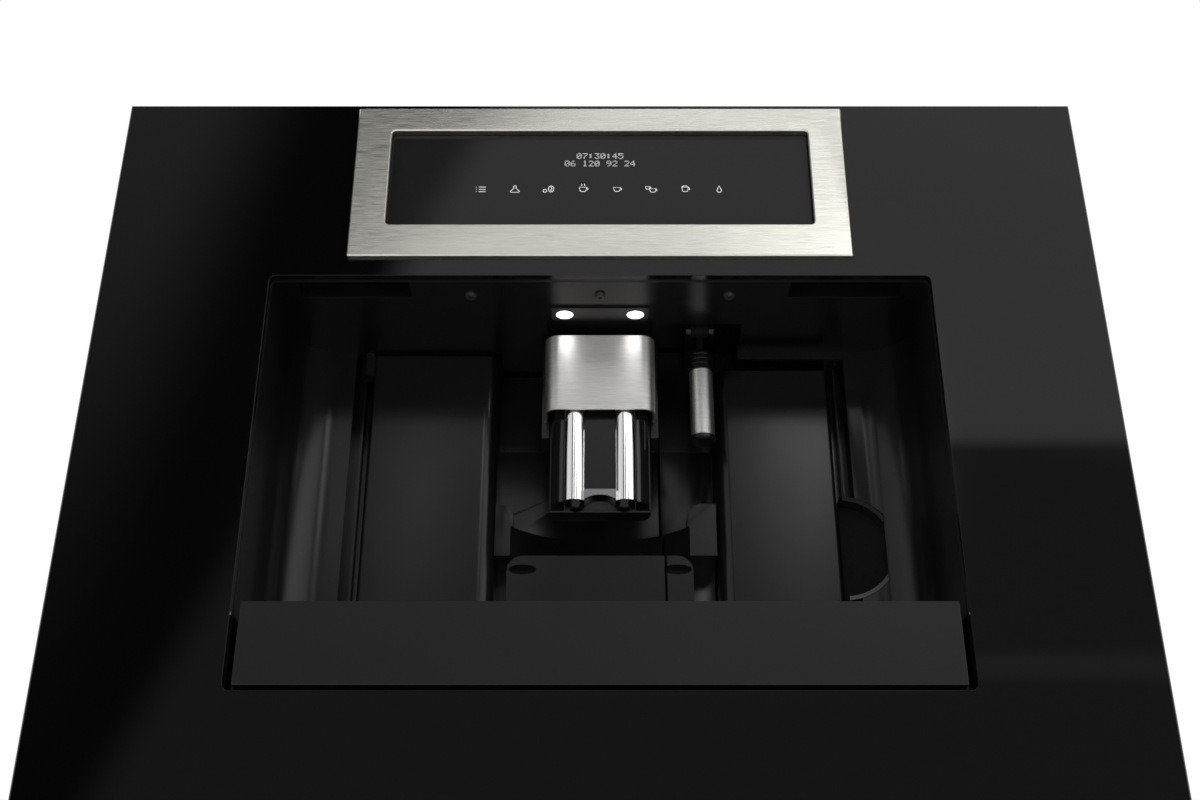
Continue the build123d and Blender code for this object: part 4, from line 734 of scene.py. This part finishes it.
# Lamps in the niche's ceiling: a bezel, a domed lens and the small chip that shows through it.
lamps = {
    "holderRim": 1.5, "holderDepth": 2.5, "play": 0.05, "skirt": 1.2, "dome": 0.7,
    "bezelWidth": 0.7, "bezelDrop": 0.5, "bezelTop": 0.4, "bezelInset": 0.1, "bezelCrest": 0.2,
    "chip": 1.1, "chipDrop": 0.12, "chipTop": 0.2, "steps": 40, "sharp": 35,
}


def spinProfile(name, profile, centre, steps):
    # a closed ring of (radius, height) points turned about the vertical through the centre
    shape = bmesh.new()
    rings = []
    for step in range(steps):
        turn = 2 * math.pi * step / steps
        rings.append([
            shape.verts.new((
                centre[0] + r * mm * math.cos(turn), centre[1] + r * mm * math.sin(turn),
                centre[2] + h * mm,
            ))
            for r, h in profile
        ])
    for one, two in zip(rings, rings[1:] + rings[:1]):
        for i in range(len(profile)):
            j = (i + 1) % len(profile)
            shape.faces.new((one[i], two[i], two[j], one[j]))
    bmesh.ops.remove_doubles(shape, verts=shape.verts, dist=1e-7)
    return closedMesh(name, shape, lamps["sharp"])


def lensProfile(radius, rim, height):
    slopes = [math.radians(10 * i) for i in range(9)]
    dome = [(radius * math.sin(a), lamps["dome"] * (1 - math.cos(a))) for a in slopes]
    seat, step = radius - lamps["play"], height - lamps["holderDepth"]
    return dome + [(seat, lamps["skirt"]), (seat, step), (rim, step), (rim, height), (0, height)]


def bezelProfile(radius):
    inner, outer = radius - lamps["bezelInset"], radius + lamps["bezelWidth"]
    top, drop = lamps["bezelTop"], -lamps["bezelDrop"]
    return [
        (inner, top), (inner, drop * 0.4), (radius + lamps["bezelCrest"], drop),
        (outer - lamps["bezelInset"], drop * 0.6), (outer, 0.0), (outer, top),
    ]


lampLow, lampHigh = (Vector(corner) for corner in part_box("lamp_lenses"))
lampRim = (lampHigh.y - lampLow.y) / 2 / mm
lampRadius = lampRim - lamps["holderRim"]
lampX = lampHigh.x - lampRim * mm
chip, chipDrop, chipTop = lamps["chip"], -lamps["chipDrop"], lamps["chipTop"]
chipProfile = [(0, chipDrop), (chip, chipDrop), (chip, chipTop), (0, chipTop)]
lampPieces = (
    ("lampLens", lensProfile(lampRadius, lampRim, (lampHigh.z - lampLow.z) / mm), "lens_plastic"),
    ("lampBezel", bezelProfile(lampRadius), "spout_black"),
    ("lampChip", chipProfile, "chassis_plastic"),
)
for side, hand in hands:
    centre = (hand * lampX, (lampLow.y + lampHigh.y) / 2, lampLow.z)
    for kind, profile, slot in lampPieces:
        name = f"{kind}_{side}"
        steps = 4 if kind == "lampChip" else lamps["steps"]       # the chip is square
        piece = addShaped(name, spinProfile(name, profile, centre, steps), "machine", slot)
        if kind == "lampLens":
            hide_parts("lamp_lenses")
say("lamps")

# A matt sleeve over the door's top knuckle.
sleeve = {"inner": 4.3, "outer": 4.6, "height": 15.0, "over": 0.1, "steps": 32}
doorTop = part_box("door_panel")[1][2]
hinge = next(joint["pos_m"] for joint in behaviour["joints"] if joint["name"] == "door_hinge")
sleeveProfile = [
    (sleeve["inner"], 0), (sleeve["outer"], 0), (sleeve["outer"], sleeve["height"]),
    (sleeve["inner"], sleeve["height"]),
]
sleeveFoot = (hinge[0], hinge[1], doorTop - (sleeve["height"] - sleeve["over"]) * mm)
addShaped(
    "hingeSleeve", spinProfile("hingeSleeve", sleeveProfile, sleeveFoot, sleeve["steps"]),
    bodyOf["door_panel"], "rubber",
)

# The lip round the finger recess: a flat arc with a sloped face.
lip = {"width": 2.6, "thickness": 0.6, "slope": 0.2, "turn": 86, "steps": 36}


def lipMesh(name):
    low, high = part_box("finger_cup")
    radius, middle = (high[2] - low[2]) / 2, (low[2] + high[2]) / 2
    inner, back = radius - lip["width"] * mm, low[1] + lip["thickness"] * mm
    section = ((inner, low[1] + lip["slope"] * mm), (radius, low[1]), (radius, back), (inner, back))
    shape = bmesh.new()
    rows = []
    for step in range(lip["steps"] + 1):
        turn = math.radians(2 * lip["turn"] * step / lip["steps"] - lip["turn"])
        rows.append([
            shape.verts.new((high[0] - radius + r * math.cos(turn), y, middle + r * math.sin(turn)))
            for r, y in section
        ])
    for one, two in zip(rows, rows[1:]):
        for i in range(len(section)):
            j = (i + 1) % len(section)
            shape.faces.new((one[i], two[i], two[j], one[j]))
    shape.faces.new(rows[0])
    shape.faces.new(reversed(rows[-1]))
    return closedMesh(name, shape)


addShaped("fingerLip", lipMesh("fingerLip"), bodyOf["finger_cup"], "niche_plastic")
say("sleeve and lip")

# Stage: pale floor and plinth, in metres.
stage = {
    "floorDrop": 0.45, "floorSize": 12.0, "floorThickness": 0.02, "plinthWidth": 0.52,
    "plinthInset": 0.016, "plinthGap": 0.0003, "floorColour": "#e9e8e5", "plinthColour": "#dedcd8",
}


def stageFinish(name, colour):
    # pale matt paint with a soft unevenness, about 33 mm across
    material, tree, shader = startFinish(name, colour, 0.9)
    raiseGrain(tree, shader, grainTexture(tree, (33, 33, 33), 3.0), 0.05, 1.0)
    return material


def stageBox(name, low, high, colour):
    corners = [
        (x, y, z) for x in (low[0], high[0]) for y in (low[1], high[1]) for z in (low[2], high[2])
    ]
    sides = [(0, 1, 3, 2), (4, 6, 7, 5), (0, 4, 5, 1), (2, 3, 7, 6), (0, 2, 6, 4), (1, 5, 7, 3)]
    mesh = bpy.data.meshes.new(name)
    mesh.from_pydata(corners, [], sides)
    mesh.materials.append(stageFinish(name, colour))
    block = linkObject(name, mesh)


baseLow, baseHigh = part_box("base_frame")
floorHalf, floorTop = stage["floorSize"] / 2, -stage["floorDrop"]
plinthHalf = stage["plinthWidth"] / 2
stageBox(
    "paleFloor", (-floorHalf, -floorHalf, floorTop - stage["floorThickness"]),
    (floorHalf, floorHalf, floorTop), stage["floorColour"],
)
stageBox(
    "palePlinth", (-plinthHalf, baseLow[1] + stage["plinthInset"], floorTop),
    (plinthHalf, baseHigh[1], -stage["plinthGap"]), stage["plinthColour"],
)

# The photograph's camera: metres in front of the glass and below its top edge, pitch in degrees,
# lens and sensor in mm.
view = {"distance": 0.762, "drop": 0.6031, "pitch": 27.25, "lens": 45.05, "sensor": 36.0}
cameraData = bpy.data.cameras.new("photoCamera")
cameraData.lens = view["lens"]
cameraData.sensor_width = view["sensor"]
cameraData.clip_start = 0.01
camera = linkObject("photoCamera", cameraData)
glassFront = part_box("front_glass")[0][1]
camera.location = (0, glassFront - view["distance"], frontTop - view["drop"])
camera.rotation_euler = (math.radians(90 + view["pitch"]), 0, 0)
bpy.context.scene.camera = camera

lights = {
    "keyAboveRight": {
        "place": (1.4, -2.2, 2.2), "aim": (0, 0, 0.25),
        "size": (1.6, 1.6), "power": 60,
    },
    "fillLeft": {
        "place": (-2.4, -1.6, 1.0), "aim": (0, 0, 0.2),
        "size": (1.2, 1.8), "power": 20,
    },
    "backRim": {
        "place": (0.5, 2.4, 2.0), "aim": (0, 0, 0.25),
        "size": (1.6, 1.0), "power": 40,
    },
}
for name, light in lights.items():
    data = bpy.data.lights.new(name, "AREA")
    data.shape = "RECTANGLE"
    data.size, data.size_y = light["size"]
    data.energy = light["power"]
    lamp = linkObject(name, data)
    lamp.location = light["place"]
    beam = Vector(light["aim"]) - Vector(light["place"])
    lamp.rotation_euler = beam.to_track_quat("-Z", "Y").to_euler()
    lamp.visible_glossy = False        # the cards below are what shows in the gloss

# Soft cards round the front, as a studio sets them. Across and up are a direction's slopes against
# the one straight out of the front; lean tips a card's upright edges about the height leanAt, soft
# is the half width of its edges across and up, and glow is its brightness.
cards = {
    "rightWall": {
        "across": (-0.103, 8.0), "up": (0.48, 0.9), "lean": 0.436,
        "soft": (0.022, 0.008), "glow": 0.84,
    },
    "rightLow": {
        "across": (-0.103, 8.0), "up": (-1.5, 0.48), "lean": 0.436,
        "soft": (0.022, 0.008), "glow": 0.18,
    },
    "leftWall": {
        "across": (-8.0, -0.294), "up": (0.5, 1.3), "lean": 0.203,
        "soft": (0.06, 0.35), "glow": 0.33,
    },
    "rightStrip": {
        "across": (0.22, 8.0), "up": (0.301, 0.319), "lean": 0.0,
        "soft": (0.01, 0.004), "glow": 0.12,
    },
    "nicheRight": {
        "across": (0.095, 0.245), "up": (0.41, 0.57), "lean": 0.0,
        "soft": (0.012, 0.018), "glow": 2.3,
    },
    "nicheRim": {
        "across": (0.195, 0.245), "up": (0.41, 0.57), "lean": 0.0,
        "soft": (0.012, 0.018), "glow": 3.5,
    },
    "nicheLeft": {
        "across": (-0.245, -0.085), "up": (0.36, 0.57), "lean": 0.0,
        "soft": (0.012, 0.018), "glow": 0.95,
    },
    "ceilingRight": {
        "across": (-0.1, 8.0), "up": (0.88, 2.4), "lean": 0.0,
        "soft": (0.03, 0.05), "glow": 0.95,
    },
    "ceilingLeft": {
        "across": (-8.0, -0.294), "up": (0.9, 4.0), "lean": 0.203,
        "soft": (0.08, 0.05), "glow": 0.25,
    },
    "lowFront": {
        "across": (-0.1, 1.2), "up": (-1.2, 0.06), "lean": 0.0,
        "soft": (0.1, 0.03), "glow": 0.8,
    },
    "farRight": {
        "across": (0.42, 12.0), "up": (0.1, 0.9), "lean": 0.0,
        "soft": (0.015, 0.1), "glow": 0.7,
    },
    "farLeft": {
        "across": (-12.0, -0.42), "up": (0.1, 0.9), "lean": 0.0,
        "soft": (0.015, 0.1), "glow": 0.5,
    },
}
studio = {
    "leanAt": 0.751,
    "leastForward": 0.15,    # keeps the slopes finite for directions beside the front
    "back": (-0.05, 0.25),   # where the front's cards give way to the white behind the object
    "fill": 0.55,            # brightness for the matt surfaces
}


def cardLight(tree, card, across, up):
    # one card's brightness in the direction seen
    rise = addNode(
        tree, "ShaderNodeMath", {1: studio["leanAt"]}, {0: up}, operation="SUBTRACT",
    )
    shift = addNode(
        tree, "ShaderNodeMath", {1: card["lean"]}, {0: rise.outputs[0]}, operation="MULTIPLY",
    )
    place = addNode(
        tree, "ShaderNodeMath", links={0: across, 1: shift.outputs[0]}, operation="SUBTRACT",
    )
    light = None
    sides = zip((place.outputs[0], up), (card["across"], card["up"]), card["soft"])
    for source, (low, high), soft in sides:
        for edge, before, after in ((low, 0.0, 1.0), (high, 1.0, 0.0)):
            ramp = addNode(
                tree, "ShaderNodeMapRange",
                {"From Min": edge - soft, "From Max": edge + soft, "To Min": before,
                 "To Max": after},
                {"Value": source}, interpolation_type="SMOOTHSTEP",
            ).outputs["Result"]
            light = ramp if light is None else addNode(
                tree, "ShaderNodeMath", links={0: light, 1: ramp}, operation="MULTIPLY",
            ).outputs[0]
    return addNode(
        tree, "ShaderNodeMath", {1: card["glow"]}, {0: light}, operation="MULTIPLY",
    ).outputs[0]


def buildWorld():
    world = bpy.data.worlds.new("studio")
    bpy.context.scene.world = world
    world.use_nodes = True
    tree = world.node_tree
    tree.nodes.clear()
    path = addNode(tree, "ShaderNodeLightPath").outputs
    coords = addNode(tree, "ShaderNodeTexCoord")
    parts = addNode(
        tree, "ShaderNodeSeparateXYZ", links={"Vector": coords.outputs["Generated"]},
    ).outputs
    forward = addNode(
        tree, "ShaderNodeMath", {1: -1.0}, {0: parts["Y"]}, operation="MULTIPLY",
    )
    reach = addNode(
        tree, "ShaderNodeMath", {1: studio["leastForward"]}, {0: forward.outputs[0]},
        operation="MAXIMUM",
    )
    across, up = (
        addNode(
            tree, "ShaderNodeMath", links={0: parts[axis], 1: reach.outputs[0]}, operation="DIVIDE",
        ).outputs[0]
        for axis in "XZ"
    )
    total = None
    for card in cards.values():
        light = cardLight(tree, card, across, up)
        total = light if total is None else addNode(
            tree, "ShaderNodeMath", links={0: total, 1: light}, operation="ADD",
        ).outputs[0]
    back = addNode(
        tree, "ShaderNodeMapRange",
        {"From Min": studio["back"][0], "From Max": studio["back"][1],
         "To Min": 0.0, "To Max": 1.0},
        {"Value": parts["Y"]}, interpolation_type="SMOOTHSTEP",
    )
    level = addNode(
        tree, "ShaderNodeMix", {"B": 1.0}, {"Factor": back.outputs["Result"], "A": total},
        data_type="FLOAT",
    )
    white = (1, 1, 1, 1)
    glossy = addNode(
        tree, "ShaderNodeBackground", {"Color": white}, {"Strength": level.outputs["Result"]},
    )
    plain, matt = (
        addNode(tree, "ShaderNodeBackground", {"Color": white, "Strength": strength})
        for strength in (1.0, studio["fill"])
    )
    seen = addNode(
        tree, "ShaderNodeMath",
        links={0: path["Is Camera Ray"], 1: path["Is Transmission Ray"]}, operation="MAXIMUM",
    )
    lit = addNode(
        tree, "ShaderNodeMixShader",
        links={0: path["Is Glossy Ray"], 1: matt.outputs[0], 2: glossy.outputs[0]},
    )
    shown = addNode(
        tree, "ShaderNodeMixShader",
        links={0: seen.outputs[0], 1: lit.outputs[0], 2: plain.outputs[0]},
    )
    addNode(tree, "ShaderNodeOutputWorld", links={"Surface": shown.outputs[0]})


buildWorld()
bpy.context.scene.view_settings.view_transform = "Standard"
say("stage, camera and lights")
